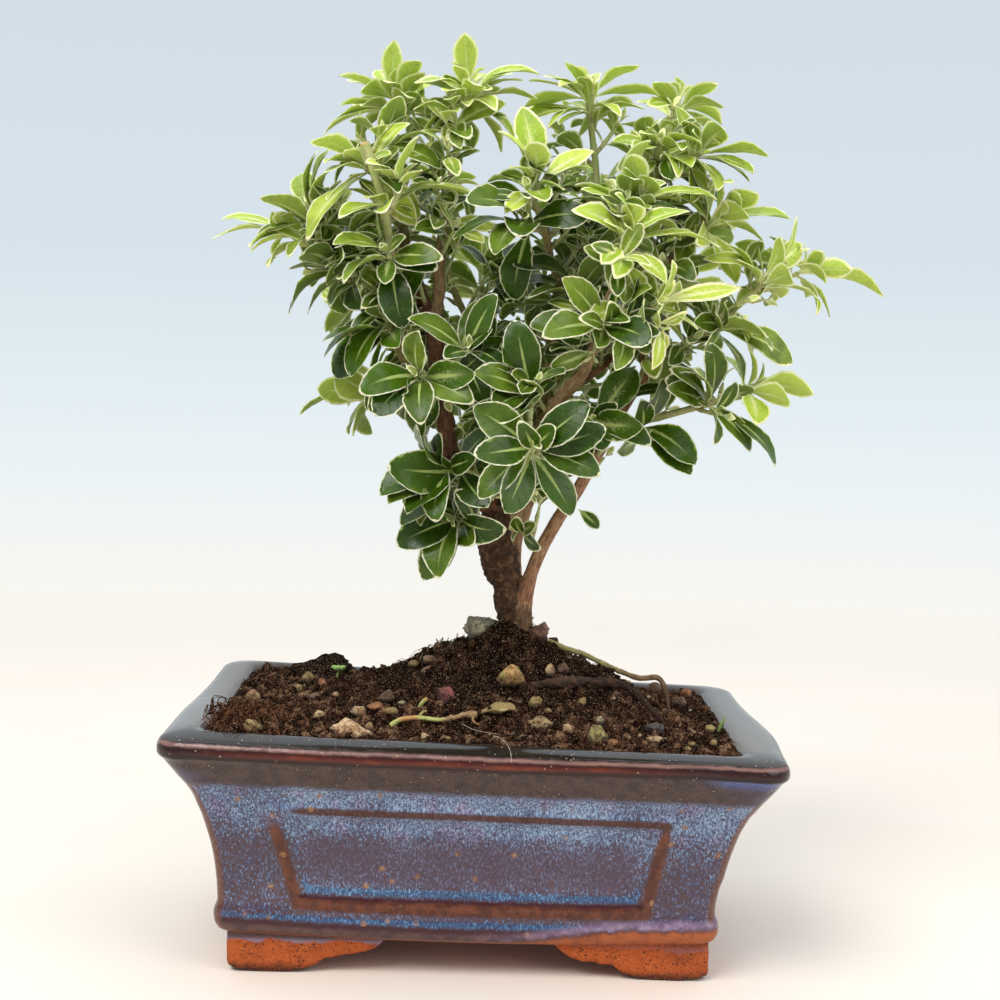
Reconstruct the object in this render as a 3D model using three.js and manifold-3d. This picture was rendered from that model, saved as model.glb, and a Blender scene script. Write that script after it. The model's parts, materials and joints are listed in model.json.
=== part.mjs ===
// Serissa bonsai: a small variegated tree grown in a glazed rectangular pot.
// Millimetres, +Z up. The design frame has the middle of the pot on the Z axis and the feet at z = 0;
// the last lines move the whole object so that its box stands centred on the origin.
import * as THREE from "three";
import { mergeVertices } from "three/addons/utils/BufferGeometryUtils.js";
import Module from "manifold-3d";

const wasm = await Module();
wasm.setup();

// ---- driving dimensions of the pot ----
const potLength = 150;
const potDepth = 108;
const lipHeight = 57.2; // height of the widest line of the lip
const rimHeight = 60.4; // height of the crest of the rim
const warpRise = 0.032; // the fired pot is this fraction taller at its left end, lower at its right
const wallFloorTop = 17; // inside floor
const footTop = 9.6; // underside of the pot, between the feet
const footReach = 41; // length of a bracket foot along the long side
const footThickness = 9;
const drainHoleRadius = 7;
const drainHoleSpacing = 58;
const cornerSteps = 3; // segments on each rounded corner
const fitGap = 0.3; // clearance between pieces that touch
const weldDistance = 0.002; // corners nearer than this count as one
const mergeTolerances = [0.12, 0.16, 0.2, 0.08, 0.25, 0.3]; // slivers finer than this are merged away

// ---- driving dimensions of the tree ----
const matureLeafLength = 19;
const youngLeafLength = 16;
const leafThickness = 1.1;
const widestShift = 0.06; // a leaf is widest this fraction of its length past its middle
const greenStemRadius = 0.85;
const crownCentre = new THREE.Vector3(12, 4, 150);
const goldenAngle = 2.39996;

// ---- driving dimensions of the soil ----
const soilEdgeHeight = 58.5;
const moundHeight = 22.5;
const moundCentre = new THREE.Vector2(8, 2);
const moundReachLeft = 64;
const moundReachRight = 44;
const moundReachDeep = 46;

// ---- finishes ----
const glaze = new THREE.MeshStandardMaterial({ color: 0x3a4d7a, roughness: 0.25, metalness: 0 });
const peat = new THREE.MeshStandardMaterial({ color: 0x2b1a13, roughness: 0.95, metalness: 0 });
const bark = new THREE.MeshStandardMaterial({ color: 0x5c4133, roughness: 0.85, metalness: 0 });
const plasticMesh = new THREE.MeshStandardMaterial({ color: 0x2a2c2e, roughness: 0.5, metalness: 0 });
const matureLeaf = new THREE.Color(0x2f5d2a);
const youngLeaf = new THREE.Color(0x9cc048);

// ---- solids ----
function asSolid(geometry) {
  const bare = new THREE.BufferGeometry();
  bare.setAttribute("position", geometry.getAttribute("position").clone());
  const source = geometry.getIndex();
  if (source) bare.setIndex(source.clone());
  const merged = mergeVertices(bare, 1e-4);
  const index = merged.getIndex().array;
  const faces = [];
  for (let i = 0; i < index.length; i += 3) {
    const [a, b, c] = [index[i], index[i + 1], index[i + 2]];
    if (a !== b && b !== c && c !== a) faces.push(a, b, c);
  }
  return new wasm.Manifold(new wasm.Mesh({
    numProp: 3,
    vertProperties: new Float32Array(merged.getAttribute("position").array),
    triVerts: new Uint32Array(faces),
  }));
}

function asGeometry(solid) {
  const mesh = solid.getMesh();
  const geometry = new THREE.BufferGeometry();
  geometry.setAttribute("position", new THREE.BufferAttribute(mesh.vertProperties.slice(), 3));
  geometry.setIndex(new THREE.BufferAttribute(mesh.triVerts.slice(), 1));
  return geometry;
}

function largestBody(solid) {
  const bodies = solid.decompose();
  bodies.sort((a, b) => b.volume() - a.volume());
  return bodies[0];
}

// True where every edge of the welded triangles is shared by exactly two of them.
function isClosed(solid) {
  const welded = mergeVertices(asGeometry(solid), weldDistance).getIndex().array;
  const edges = new Set();
  let repeated = false;
  for (let i = 0; i < welded.length; i += 3) {
    for (let side = 0; side < 3; side += 1) {
      const key = `${welded[i + side]}>${welded[i + (side + 1) % 3]}`;
      repeated = repeated || edges.has(key);
      edges.add(key);
    }
  }
  return !repeated && [...edges].every((key) => edges.has(key.split(">").reverse().join(">")));
}

// Keeps the main body of a cut solid and merges its slivers away, more coarsely if it has to.
function tidyBody(solid) {
  for (const tolerance of mergeTolerances) {
    const body = largestBody(solid.simplify(tolerance));
    if (isClosed(body)) return body;
  }
  return largestBody(solid);
}

function joinAll(solids) {
  return solids.reduce((whole, next) => whole.add(next));
}

// Mirrors a welded geometry and turns its faces outwards again where that left them inside out.
function mirrored(geometry, x, y) {
  geometry.scale(x, y, 1);
  const index = geometry.getIndex();
  for (let i = 0; x * y < 0 && i < index.count; i += 3) {
    const second = index.getX(i + 1);
    index.setX(i + 1, index.getX(i + 2));
    index.setX(i + 2, second);
  }
  return geometry;
}

// ---- pot ----
// Each row is [inset from the widest outline, height, corner radius], from the middle of the
// underside up the outside, over the rim and down the inside.
const footInset = 15.2;
const outerProfile = [
  [footInset + 1.2, footTop, 4],
  [13.6, 12.2, 6],
  [12.4, 13.8, 7],
  [12.2, 15.8, 7],
  [12.9, 18.2, 7],
  [12.7, 23, 7],
  [11.5, 31.5, 7],
  [9.7, 39, 7],
  [8.2, 44, 8],
  [6.4, 48, 8],
  [3.4, 51.5, 9],
  [1, 54.4, 10],
  [0, lipHeight, 11],
  [1.2, 59.4, 10],
  [4.2, rimHeight, 9],
];
const innerProfile = [
  [8.4, 60.1, 6],
  [9.5, 58.6, 5],
  [11.5, 50, 5],
  [16.5, 36, 5],
  [18.5, wallFloorTop, 5],
];

// A rounded rectangle as a ring of points, the same number whatever its size.
function roundedRing([inset, height, corner]) {
  const halfLength = potLength / 2 - inset;
  const halfDepth = potDepth / 2 - inset;
  const ring = [];
  for (let quarter = 0; quarter < 4; quarter += 1) {
    const signX = quarter === 0 || quarter === 3 ? 1 : -1;
    const signY = quarter < 2 ? 1 : -1;
    for (let step = 0; step <= cornerSteps; step += 1) {
      const angle = (quarter + step / cornerSteps) * Math.PI / 2;
      ring.push([
        signX * (halfLength - corner) + corner * Math.cos(angle),
        signY * (halfDepth - corner) + corner * Math.sin(angle),
        height,
      ]);
    }
  }
  return ring;
}

// A turned form whose round sections are replaced by rounded rectangles.
function rectangularTurning(profile) {
  const rings = profile.map(roundedRing);
  const segments = rings[0].length;
  const outline = [new THREE.Vector2(0, profile[0][1])];
  for (const [, height] of profile) outline.push(new THREE.Vector2(1, height));
  outline.push(new THREE.Vector2(0, profile.at(-1)[1]));
  const geometry = new THREE.LatheGeometry(outline, segments);
  const position = geometry.getAttribute("position");
  for (let i = 0; i <= segments; i += 1) {
    for (let j = 0; j < outline.length; j += 1) {
      const onAxis = j === 0 || j === outline.length - 1;
      const point = onAxis ? [0, 0, outline[j].y] : rings[j - 1][i % segments];
      position.setXYZ(i * outline.length + j, ...point);
    }
  }
  return asSolid(geometry);
}

// One arm of a bracket foot: an ogee outline, corner at the origin, running along +X.
function footArm(reach) {
  const outline = new THREE.Shape();
  outline.moveTo(0, footTop + 1.5);
  outline.lineTo(0, 1.2);
  outline.lineTo(1.2, 0);
  outline.lineTo(reach * 0.38, 0);
  outline.quadraticCurveTo(reach * 0.5, 0.2, reach * 0.58, 3.6);
  outline.lineTo(reach * 0.82, 4.8);
  outline.quadraticCurveTo(reach * 0.92, 6, reach, footTop + 1.5);
  const arm = new THREE.ExtrudeGeometry(outline, { depth: footThickness, bevelEnabled: false, curveSegments: 2 });
  arm.rotateX(Math.PI / 2);
  arm.translate(0, footThickness, 0);
  return arm;
}

function makeFeet() {
  const feet = [];
  const cornerX = potLength / 2 - footInset;
  const cornerY = potDepth / 2 - footInset;
  for (const signX of [1, -1]) {
    for (const signY of [1, -1]) {
      const along = mirrored(mergeVertices(footArm(footReach)), -signX, -signY);
      along.translate(signX * cornerX, signY * cornerY, 0);
      const deepArm = mergeVertices(footArm(footReach * 0.62));
      deepArm.rotateZ(Math.PI / 2);
      deepArm.translate(footThickness, 0, 0);
      const across = mirrored(deepArm, -signX, -signY);
      across.translate(signX * cornerX, signY * cornerY, 0);
      feet.push(asSolid(along).add(asSolid(across)));
    }
  }
  return feet;
}

// The raised frame of one wall: a four-sided ridge that follows the lean of the wall.
const frameLow = 16.9;
const frameBend = 31.5; // the wall flares faster above this height
const frameHigh = 42.9;
const frameWidth = 3;
const frameTrim = 3.2; // the frame is this much narrower at its foot, as the wall is
const frameStand = 1; // how proud the ridge stands
const frameRoot = 3; // how deep it reaches into the wall

// How far the outside of the wall stands in from the widest outline at one height.
function wallInset(height) {
  const above = outerProfile.findIndex(([, rowHeight], row) => row > 0 && rowHeight >= height);
  const [lowInset, lowHeight] = outerProfile[above - 1];
  const [highInset, highHeight] = outerProfile[above];
  return THREE.MathUtils.lerp(lowInset, highInset, (height - lowHeight) / (highHeight - lowHeight));
}

function traceFrame(path, halfWidth, low, high) {
  const sideAt = (height) => halfWidth - frameTrim * (frameHigh - height) / (frameHigh - frameLow);
  path.moveTo(-sideAt(low), low);
  path.lineTo(sideAt(low), low);
  path.lineTo(sideAt(frameBend), frameBend);
  path.lineTo(sideAt(high), high);
  path.lineTo(-sideAt(high), high);
  path.lineTo(-sideAt(frameBend), frameBend);
}

function makeFrame(halfWidth, halfSpan, turn) {
  const outline = new THREE.Shape();
  traceFrame(outline, halfWidth, frameLow, frameHigh);
  const opening = new THREE.Path();
  traceFrame(opening, halfWidth - frameWidth, frameLow + frameWidth, frameHigh - frameWidth);
  outline.holes.push(opening);
  const ridge = new THREE.ExtrudeGeometry(outline, { depth: frameRoot + frameStand, bevelEnabled: false });
  ridge.rotateX(Math.PI / 2);
  ridge.translate(0, frameRoot, 0);
  const position = ridge.getAttribute("position");
  for (let i = 0; i < position.count; i += 1) {
    position.setY(i, position.getY(i) - halfSpan + wallInset(position.getZ(i)));
  }
  ridge.rotateZ(turn);
  return asSolid(ridge);
}

function warped(geometry) {
  const position = geometry.getAttribute("position");
  for (let i = 0; i < position.count; i += 1) {
    position.setZ(i, position.getZ(i) * (1 - warpRise * position.getX(i) / (potLength / 2)));
  }
  return geometry;
}

function drainHole(x) {
  const drill = new THREE.CylinderGeometry(drainHoleRadius, drainHoleRadius, 30, 12);
  drill.rotateX(Math.PI / 2);
  drill.translate(x, 0, footTop);
  return asSolid(drill);
}

function makePot() {
  const body = rectangularTurning([...outerProfile, ...innerProfile]);
  const frames = [
    makeFrame(48.8, potDepth / 2, 0),
    makeFrame(48.8, potDepth / 2, Math.PI),
    makeFrame(28, potLength / 2, Math.PI / 2),
    makeFrame(28, potLength / 2, -Math.PI / 2),
  ];
  const drilled = joinAll([body, ...makeFeet(), ...frames])
    .subtract(drainHole(-drainHoleSpacing / 2))
    .subtract(drainHole(drainHoleSpacing / 2));
  return drilled;
}

function makeDrainMesh(x) {
  const size = 22;
  const thickness = 1;
  const sheet = new THREE.BoxGeometry(size, size, thickness);
  sheet.translate(x, 0, wallFloorTop * (1 - warpRise * x / (potLength / 2)) + thickness + fitGap);
  return asSolid(sheet);
}

// ---- limbs ----
// A cylinder bent along a smooth path, its radius eased from one given value to the next.
function limb(points, radii, sides, stepLength, growth = 0) {
  const curve = new THREE.CatmullRomCurve3(points.map((p) => new THREE.Vector3(...p)));
  const rings = Math.max(2, Math.round(curve.getLength() / stepLength));
  const frames = curve.computeFrenetFrames(rings, false);
  const geometry = new THREE.CylinderGeometry(1, 1, 1, sides, rings);
  const position = geometry.getAttribute("position");
  const centre = new THREE.Vector3();
  const side = new THREE.Vector3();
  for (let i = 0; i < position.count; i += 1) {
    const t = position.getY(i) + 0.5;
    const ring = Math.round(t * rings);
    const slot = t * (radii.length - 1);
    const low = Math.min(radii.length - 2, Math.floor(slot));
    const radius = THREE.MathUtils.lerp(radii[low], radii[low + 1], slot - low) + growth;
    curve.getPointAt(t, centre);
    side.crossVectors(frames.normals[ring], frames.tangents[ring]);
    centre.addScaledVector(frames.normals[ring], radius * position.getX(i));
    centre.addScaledVector(side, radius * position.getZ(i));
    if (t === 0) centre.addScaledVector(frames.tangents[0], -growth);
    if (t === 1) centre.addScaledVector(frames.tangents[rings], growth);
    position.setXYZ(i, centre.x, centre.y, centre.z);
  }
  return asSolid(geometry);
}

// Woody skeleton: a path and its radii for each limb, from its foot to its end.
const limbs = {
  trunk: [[[9, 1, 62], [10, 0, 72], [10, 0, 79], [10, 0, 84], [7, 0, 93], [5, 0, 101], [4, 0, 108], [5, 0, 115]],
    [5, 7, 5.2, 4.1, 4.4, 4.9, 4.6, 4]],
  secondStem: [[[11, 2, 80], [12, 3, 88], [10, 4, 99], [10, 4, 109], [10, 2, 115]], [2.6, 2.4, 2.4, 2.4, 2.5]],
  rightStem: [[[12, 0, 78], [13, -1, 85], [15, -2, 92], [19, -3, 100], [22, -4, 114], [26, -4, 120], [31, -5, 130],
    [39, -5, 145], [43, -5, 151], [42, -4, 157], [44, -3, 168], [47, 0, 176], [51, 4, 186]],
    [2.6, 2.6, 2.3, 2.2, 2, 1.9, 1.9, 1.8, 1.7, 1.4, 1.2, 1.1, 1]],
  rightSide: [[[43, -5, 151], [49, -7, 156], [56, -8, 161], [62, -9, 166], [71, -8, 173]], [1.4, 1.2, 1.1, 1, 0.9]],
  lowRight: [[[34, -5, 136], [41, -9, 138], [48, -11, 140], [58, -12, 143], [65, -11, 145]],
    [1.1, 1, 1, 0.9, 0.9]],
  leftBranch: [[[5, 0, 112], [-2, -3, 122], [-8, -6, 128], [-10, -8, 140], [-12, -8, 150], [-13, -8, 160],
    [-18, -5, 173], [-21, -2, 182], [-24, 2, 198], [-25, 4, 209], [-25, 5, 217]],
    [3.4, 2.8, 2.5, 2.3, 2.2, 2.3, 1.6, 1.4, 1.2, 1, 0.9]],
  leftUp: [[[-13, -8, 159], [-12, -9, 172], [-12, -8, 180], [-10, -7, 194], [-8, -6, 209], [-6, -5, 218]],
    [1.7, 1.6, 1.4, 1.1, 1, 0.9]],
  leftTwig: [[[-11, -8, 145], [-18, -6, 150], [-23, -6, 157], [-25, -8, 164], [-25, -12, 171], [-24, -15, 178],
    [-26, -16, 189], [-29, -15, 200], [-32, -14, 207]], [1.4, 1.3, 1.3, 1.2, 1.1, 1.1, 1.1, 1.1, 1]],
  farLeft: [[[-25, -10, 168], [-30, -4, 174], [-37, 0, 177], [-44, 1, 181]], [1, 1, 0.9, 0.8]],
  middle: [[[8, 1, 108], [10, 1, 118], [12, 0, 129], [15, -2, 135], [20, -8, 143], [26, -14, 151], [29, -18, 160],
    [30, -22, 166], [32, -26, 171], [34, -32, 178]], [2.8, 2.4, 2.2, 2.1, 1.9, 1.8, 1.4, 1.2, 1.1, 1]],
  midBack: [[[15, -2, 135], [17, 4, 149], [18, 3, 162], [20, -4, 172], [17, -10, 179], [15, -15, 187],
    [12, -19, 193]], [1.4, 1.4, 1.3, 1.2, 1.1, 1, 0.9]],
  topMid: [[[18, 3, 162], [24, 8, 181], [29, 7, 200], [27, 5, 218]], [1.2, 1.1, 1, 0.9]],
  reddish: [[[24, -10, 147], [34, -4, 155], [40, 4, 168], [43, 6, 187], [46, 6, 203], [50, 10, 218]],
    [1, 1, 1, 1, 1, 0.9]],
  frontLow: [[[6, -1, 115], [9, -14, 120], [11, -28, 126], [12, -35, 129]], [1.1, 1.1, 1, 0.9]],
  rear: [[[9, 2, 110], [8, 14, 125], [2, 24, 143], [-2, 32, 160], [-1, 36, 172]], [2, 1.8, 1.5, 1.2, 1]],
  rearLeft: [[[2, 24, 143], [-12, 26, 154], [-24, 26, 163], [-31, 26, 170]], [1.2, 1.1, 1, 0.9]],
  rearRight: [[[8, 14, 125], [18, 24, 142], [28, 31, 158], [40, 30, 166], [50, 27, 172]], [1.3, 1.2, 1.1, 1, 0.9]],
  rearTop: [[[-2, 32, 160], [-10, 27, 176], [-12, 25, 190]], [1.1, 1, 0.9]],
  rearTopRight: [[[28, 31, 158], [28, 30, 174], [26, 27, 190]], [1.1, 1, 0.9]],
  deadStub: [[[43, -5, 149], [46, -6, 153]], [1.1, 0.9]],
  surfaceRoot: [[[12, 2, 76], [21, 3, 76], [27, 3, 74], [33, 2, 72], [39, 2, 70], [44, 1, 69.4], [49, 0, 69],
    [51, -1, 65], [52, -1, 61], [53, -1, 55]], [1.8, 1.3, 1.1, 1, 1, 1, 1.2, 1, 0.9, 0.7]],
  rootLeft: [[[8, 0, 72], [-8, 4, 66], [-24, 8, 56], [-34, 6, 44]], [3, 2.2, 1.6, 1]],
  rootFront: [[[9, -1, 70], [4, -14, 62], [6, -24, 50], [0, -28, 38]], [2.6, 2, 1.4, 0.9]],
  rootRight: [[[12, 1, 70], [26, 8, 60], [40, 12, 50], [48, 10, 38]], [2.6, 2, 1.4, 0.9]],
};

function makeWood(growth) {
  const parts = Object.values(limbs).map(([points, radii]) => {
    const sides = radii[0] > 3 ? 8 : 5;
    return limb(points, radii, sides, radii[0] > 3 ? 8 : 12, growth);
  });
  return joinAll(parts);
}

// ---- leafy shoots ----
// at: the middle of the rosette. young: 0 for a dark mature shoot, 1 for fresh growth.
// tips: where leaf tips lie from that middle, [to the right, up]. low: the same, for leaves one node
// further down the stem. fill: leaves on the side of the shoot that those leave bare.
const shoots = [
  { at: [-25, 5, 223], young: 0.9, fill: 1, tips: [[-1, 14], [-6, 10], [-14, 6], [-13, 7], [6, 9], [5, 3], [-9, 1]],
    low: [[-20, -8], [-17, -5], [-10, -11], [10, -1], [17, -4]] },
  { at: [-5, -5, 224], young: 0.9, fill: 1, tips: [[-2, 13], [-3, 10], [17, 6], [-13, 4], [-13, 1], [5, 7], [-4, 5]],
    low: [[7, -6], [13, -12], [-13, -11], [-12, -17], [10, -15], [17, 0]] },
  { at: [-22, -20, 195], young: 0.6, fill: 0, tips: [[5, 5], [-5, 5], [3, 13], [19, 1], [-7, 7]], low: [[-8, -2]] },
  { at: [-31, -16, 201], young: 0.7, fill: 0, tips: [[-13, 7], [-10, 1], [-5, 4], [6, 3]],
    low: [[-10, -8], [-17, -16], [14, -12], [13, -14]] },
  { at: [-24, -20, 178], young: 0.3, fill: 0, tips: [[-13, 4], [12, 0], [-1, -6], [-11, -5], [3, 5]],
    low: [[3, -17]] },
  { at: [-45, -4, 191], young: 0.5, fill: 1, tips: [[-1, 15], [-4, 7], [4, 11], [-6, 12], [2, 16]],
    low: [[-13, 4], [8, -1]] },
  { at: [-53, 0, 186], young: 0.9, fill: 0, tips: [[-17, 5], [-20, 0], [-9, -4], [-5, -5], [-2, 5], [-5, 2]],
    low: [[-5, -9], [6, -8]] },
  { at: [-39, -6, 176], young: 0.1, fill: 1, tips: [[-13, -11], [0, -10], [-8, 4], [-3, -5]], low: [[6, -10]] },
  { at: [-25, -15, 163], young: 0, fill: 0, tips: [[-9, -14], [-4, 5]], low: [[-15, -4], [-16, -8], [-14, -14]] },
  { at: [-30, 0, 143], young: 0.5, fill: 1, tips: [[-14, 2], [-19, -3], [-5, -10], [-2, -10]], low: [[-10, 6]] },
  { at: [26, 4, 225], young: 0.8, fill: 2,
    tips: [[-6, 7], [-5, 6], [12, 8], [19, 2], [-15, 4], [-17, -2], [-8, 1], [2, 5]],
    low: [[-11, -9], [-20, -8], [8, -6]] },
  { at: [51, 11, 224], young: 0.8, fill: 1, tips: [[9, 5], [13, -2], [-4, 5], [11, -5], [-9, -1], [-3, -8]],
    low: [[7, -10], [-6, -13]] },
  { at: [44, -6, 209], young: 0.7, fill: 1, tips: [[10, 2], [-5, 4], [-7, -1], [5, -7]], low: [[8, -4], [-9, -8]] },
  { at: [55, -8, 208], young: 0.5, fill: 0, tips: [[17, 2], [13, -4], [5, 6], [-2, 5]], low: [[4, -9]] },
  { at: [12, -22, 198], young: 0.8, fill: 0, tips: [[0, 9], [14, 9], [-8, 12], [-3, 19], [7, -2], [-6, 3]],
    low: [[-7, -8]] },
  { at: [38, -20, 194], young: 0.7, fill: 0, tips: [[-2, 11], [12, 3], [20, 3], [-5, 5], [4, 5]], low: [[-14, 3]] },
  { at: [34, -36, 183], young: 0.9, fill: 0, tips: [[2, 8], [15, 8], [23, 1], [-2, 10], [-12, 7], [-5, 4]],
    low: [[10, -10], [-6, -6]] },
  { at: [60, -8, 191], young: 0.7, fill: 1, tips: [[-3, 14], [9, 7], [19, 3], [5, 6], [4, -2]],
    low: [[-5, -6], [7, 2]] },
  { at: [73, -9, 177], young: 0.7, fill: 1, tips: [[3, 9], [-5, 10], [9, 14], [11, 10], [-16, 5], [5, 6]],
    low: [[-8, 4], [-5, -6]] },
  { at: [84, 4, 179], young: 0.9, fill: 0, tips: [[13, 1], [23, -3], [5, 5], [5, -5], [5, -11]], low: [] },
  { at: [41, -36, 167], young: 1, fill: 0, tips: [[9, 7], [22, 6]], low: [] },
  { at: [29, -38, 161], young: 0.4, fill: 0, tips: [[-14, -1], [10, -2], [2, 5], [5, 2], [-5, 2]], low: [[-1, -4]] },
  { at: [13, -42, 132], young: 0.3, fill: 0,
    tips: [[-14, 9], [-13, -2], [-13, -12], [12, 10], [16, 4], [15, -5], [-3, 5], [4, 4]],
    low: [[10, -16], [-6, -15]] },
  { at: [12, -30, 145], young: 0.1, fill: 0, tips: [[-4, 17], [-13, 5], [-9, -3], [7, 6], [-4, 5]],
    low: [[-17, -6]] },
  { at: [-3, -24, 155], young: 0.1, fill: 0, tips: [[9, -4], [5, 13], [-6, -1], [4, 5]], low: [] },
  { at: [-15, -30, 148], young: 0.3, fill: 0,
    tips: [[-2, 10], [-14, -2], [12, 1], [0, -10], [-11, -8], [12, -5]], low: [[0, 4]] },
  { at: [-9, -24, 126], young: 0.1, fill: 0, tips: [[-16, -6], [-14, -8], [-8, 8], [7, 2], [-3, -12], [-2, 7]],
    low: [[10, -9], [-12, -1], [-9, -10], [-11, -14]] },
  { at: [-5, -20, 113], young: 0.2, fill: 0, tips: [[-15, -6], [-9, -16], [-6, -14], [10, -3], [-6, 2]],
    low: [[2, -6]] },
  { at: [11, -8, 109], young: 0.1, fill: 0, tips: [[-2, 3], [3, 2], [4, -4]], low: [] },
  { at: [28, -18, 138], young: 0, fill: 0, tips: [[11, -1], [5, 4], [3, -6]], low: [[13, -4]] },
  { at: [41, -12, 136], young: 0.1, fill: 0, tips: [[13, -10], [14, -7], [0, 7], [-5, -6]], low: [] },
  { at: [58, -14, 143], young: 0.3, fill: 0, tips: [[-10, 4], [-9, 9], [1, 15], [2, -9], [-3, 9]], low: [[-3, 1]] },
  { at: [70, -8, 148], young: 0.7, fill: 0, tips: [[16, 0], [-6, 10], [-1, 10], [12, -2], [0, -6]],
    low: [[8, -19]] },
  { at: [62, -12, 163], young: 0.3, fill: 0, tips: [[19, -7], [12, -4], [-8, 1], [-5, -6], [0, 6]],
    low: [[10, -1]] },
  { at: [22, -14, 172], young: 0.1, fill: 0, tips: [[-17, 2], [0, 2], [7, -6], [-6, -5]], low: [[-14, 7]] },
  { at: [8, -24, 187], young: 0.1, fill: 0, tips: [[-16, -3], [2, 2], [-12, 6]], low: [[-6, -7]] },
  { at: [-2, 40, 182], young: 0.5, fill: 6, tips: [[12, 6], [-12, 8]], low: [] },
  { at: [-38, 30, 175], young: 0.5, fill: 6, tips: [[-12, 6], [5, 12]], low: [] },
  { at: [-14, 27, 200], young: 0.7, fill: 6, tips: [[-8, 8], [10, 6]], low: [] },
  { at: [27, 30, 200], young: 0.7, fill: 6, tips: [[-10, 6], [10, 7]], low: [] },
  { at: [56, 28, 180], young: 0.6, fill: 6, tips: [[12, 7], [-4, 12]], low: [] },
  { at: [30, 40, 162], young: 0.2, fill: 6, tips: [[12, 2], [-10, 6]], low: [] },
  { at: [-14, 34, 150], young: 0.1, fill: 6, tips: [[-12, 3], [6, 8]], low: [] },
  { at: [12, 30, 144], young: 0.1, fill: 5, tips: [[-12, -4], [11, -2]], low: [] },
];

const woodPoints = Object.values(limbs).flatMap(([points]) => points);

// A shoot grows from the nearest point of the wood that is not above it.
function shootFoot(centre) {
  let best = null;
  let bestCost = Infinity;
  for (const point of woodPoints) {
    const foot = new THREE.Vector3(...point);
    const cost = foot.distanceTo(centre) + 2 * Math.max(0, foot.z - centre.z + 2);
    if (cost < bestCost && foot.z > 100) {
      best = foot;
      bestCost = cost;
    }
  }
  return best;
}

// Splits one shoot into its stem path and its leaves, each leaf with its foot, tip and face direction.
function growShoot(row, number) {
  const centre = new THREE.Vector3(...row.at);
  const foot = shootFoot(centre);
  const stemVector = centre.clone().sub(foot);
  const stemLength = stemVector.length();
  const outward = centre.clone().sub(crownCentre).normalize();
  const axis = stemVector.clone().normalize().multiplyScalar(0.5).addScaledVector(outward, 0.8);
  axis.z += 0.35;
  axis.normalize();
  const natural = THREE.MathUtils.lerp(matureLeafLength, youngLeafLength, row.young);
  const leaves = [];
  const facing = Math.abs(axis.y) > 0.25 ? Math.sign(axis.y) : 0;
  const addTip = ([right, up], order, setback) => {
    const reach = Math.hypot(right, up);
    const depth = Math.sqrt(Math.max(0, natural * natural - reach * reach)) * 0.8;
    const side = facing !== 0 ? facing : (order % 2 === 0 ? -1 : 1);
    const base = centre.clone().addScaledVector(stemVector, -setback / stemLength);
    const tip = centre.clone().add(new THREE.Vector3(right, side * depth, up));
    leaves.push({ base, tip });
  };
  row.tips.forEach((tip, order) => addTip(tip, order, Math.min(1.5, stemLength * 0.3)));
  row.low.forEach((tip, order) => addTip(tip, order, Math.min(5, stemLength * 0.6)));
  const across = new THREE.Vector3(0, 0, 1).cross(axis).normalize();
  const upward = axis.clone().cross(across);
  for (let j = 0; j < row.fill; j += 1) {
    const turn = number * 0.9 + j * goldenAngle;
    const tilt = 1.15 + 0.25 * Math.sin(number * 3.1 + j * 1.7);
    const away = across.clone().multiplyScalar(Math.cos(turn)).addScaledVector(upward, Math.sin(turn));
    const direction = axis.clone().multiplyScalar(Math.cos(tilt)).addScaledVector(away, Math.sin(tilt));
    const setback = Math.min(3 + j * 1.6, stemLength * 0.8);
    const base = centre.clone().addScaledVector(stemVector, -setback / stemLength);
    leaves.push({ base, tip: base.clone().addScaledVector(direction, natural * 0.92) });
  }
  return { foot, centre, axis, leaves, young: row.young };
}

// A leaf is a thin four-sided lens, pointed at both ends and widest a little past its middle.
function makeLeaf({ base, tip }, axis, young, growth) {
  const along = tip.clone().sub(base);
  const length = along.length() + growth;
  along.normalize();
  const up = axis.clone().addScaledVector(along, -axis.dot(along));
  if (up.length() < 0.05) up.set(0, -1, 0.1).addScaledVector(along, 0.1);
  up.normalize();
  const across = along.clone().cross(up);
  const halfWidth = THREE.MathUtils.lerp(4.1, 3.2, young) * length / matureLeafLength + growth;
  const geometry = new THREE.SphereGeometry(1, 4, 2);
  const position = geometry.getAttribute("position");
  for (let i = 0; i < position.count; i += 1) {
    const reach = (position.getX(i) + 1) / 2;
    const point = base.clone();
    point.addScaledVector(along, length * (reach + widestShift * (1 - Math.abs(position.getX(i)))));
    point.addScaledVector(up, position.getY(i) * (leafThickness / 2 + growth));
    point.addScaledVector(across, position.getZ(i) * halfWidth);
    position.setXYZ(i, point.x, point.y, point.z);
  }
  return asSolid(geometry);
}

function makeStem({ foot, centre, axis }, growth) {
  const bend = foot.clone().lerp(centre, 0.5).addScaledVector(axis, -0.08 * foot.distanceTo(centre));
  const end = centre.clone().addScaledVector(axis, 1.5);
  const points = [foot, bend, centre, end].map((p) => p.toArray());
  return limb(points, [greenStemRadius, greenStemRadius, greenStemRadius * 0.9, 0.6], 4, 9, growth);
}

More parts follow.
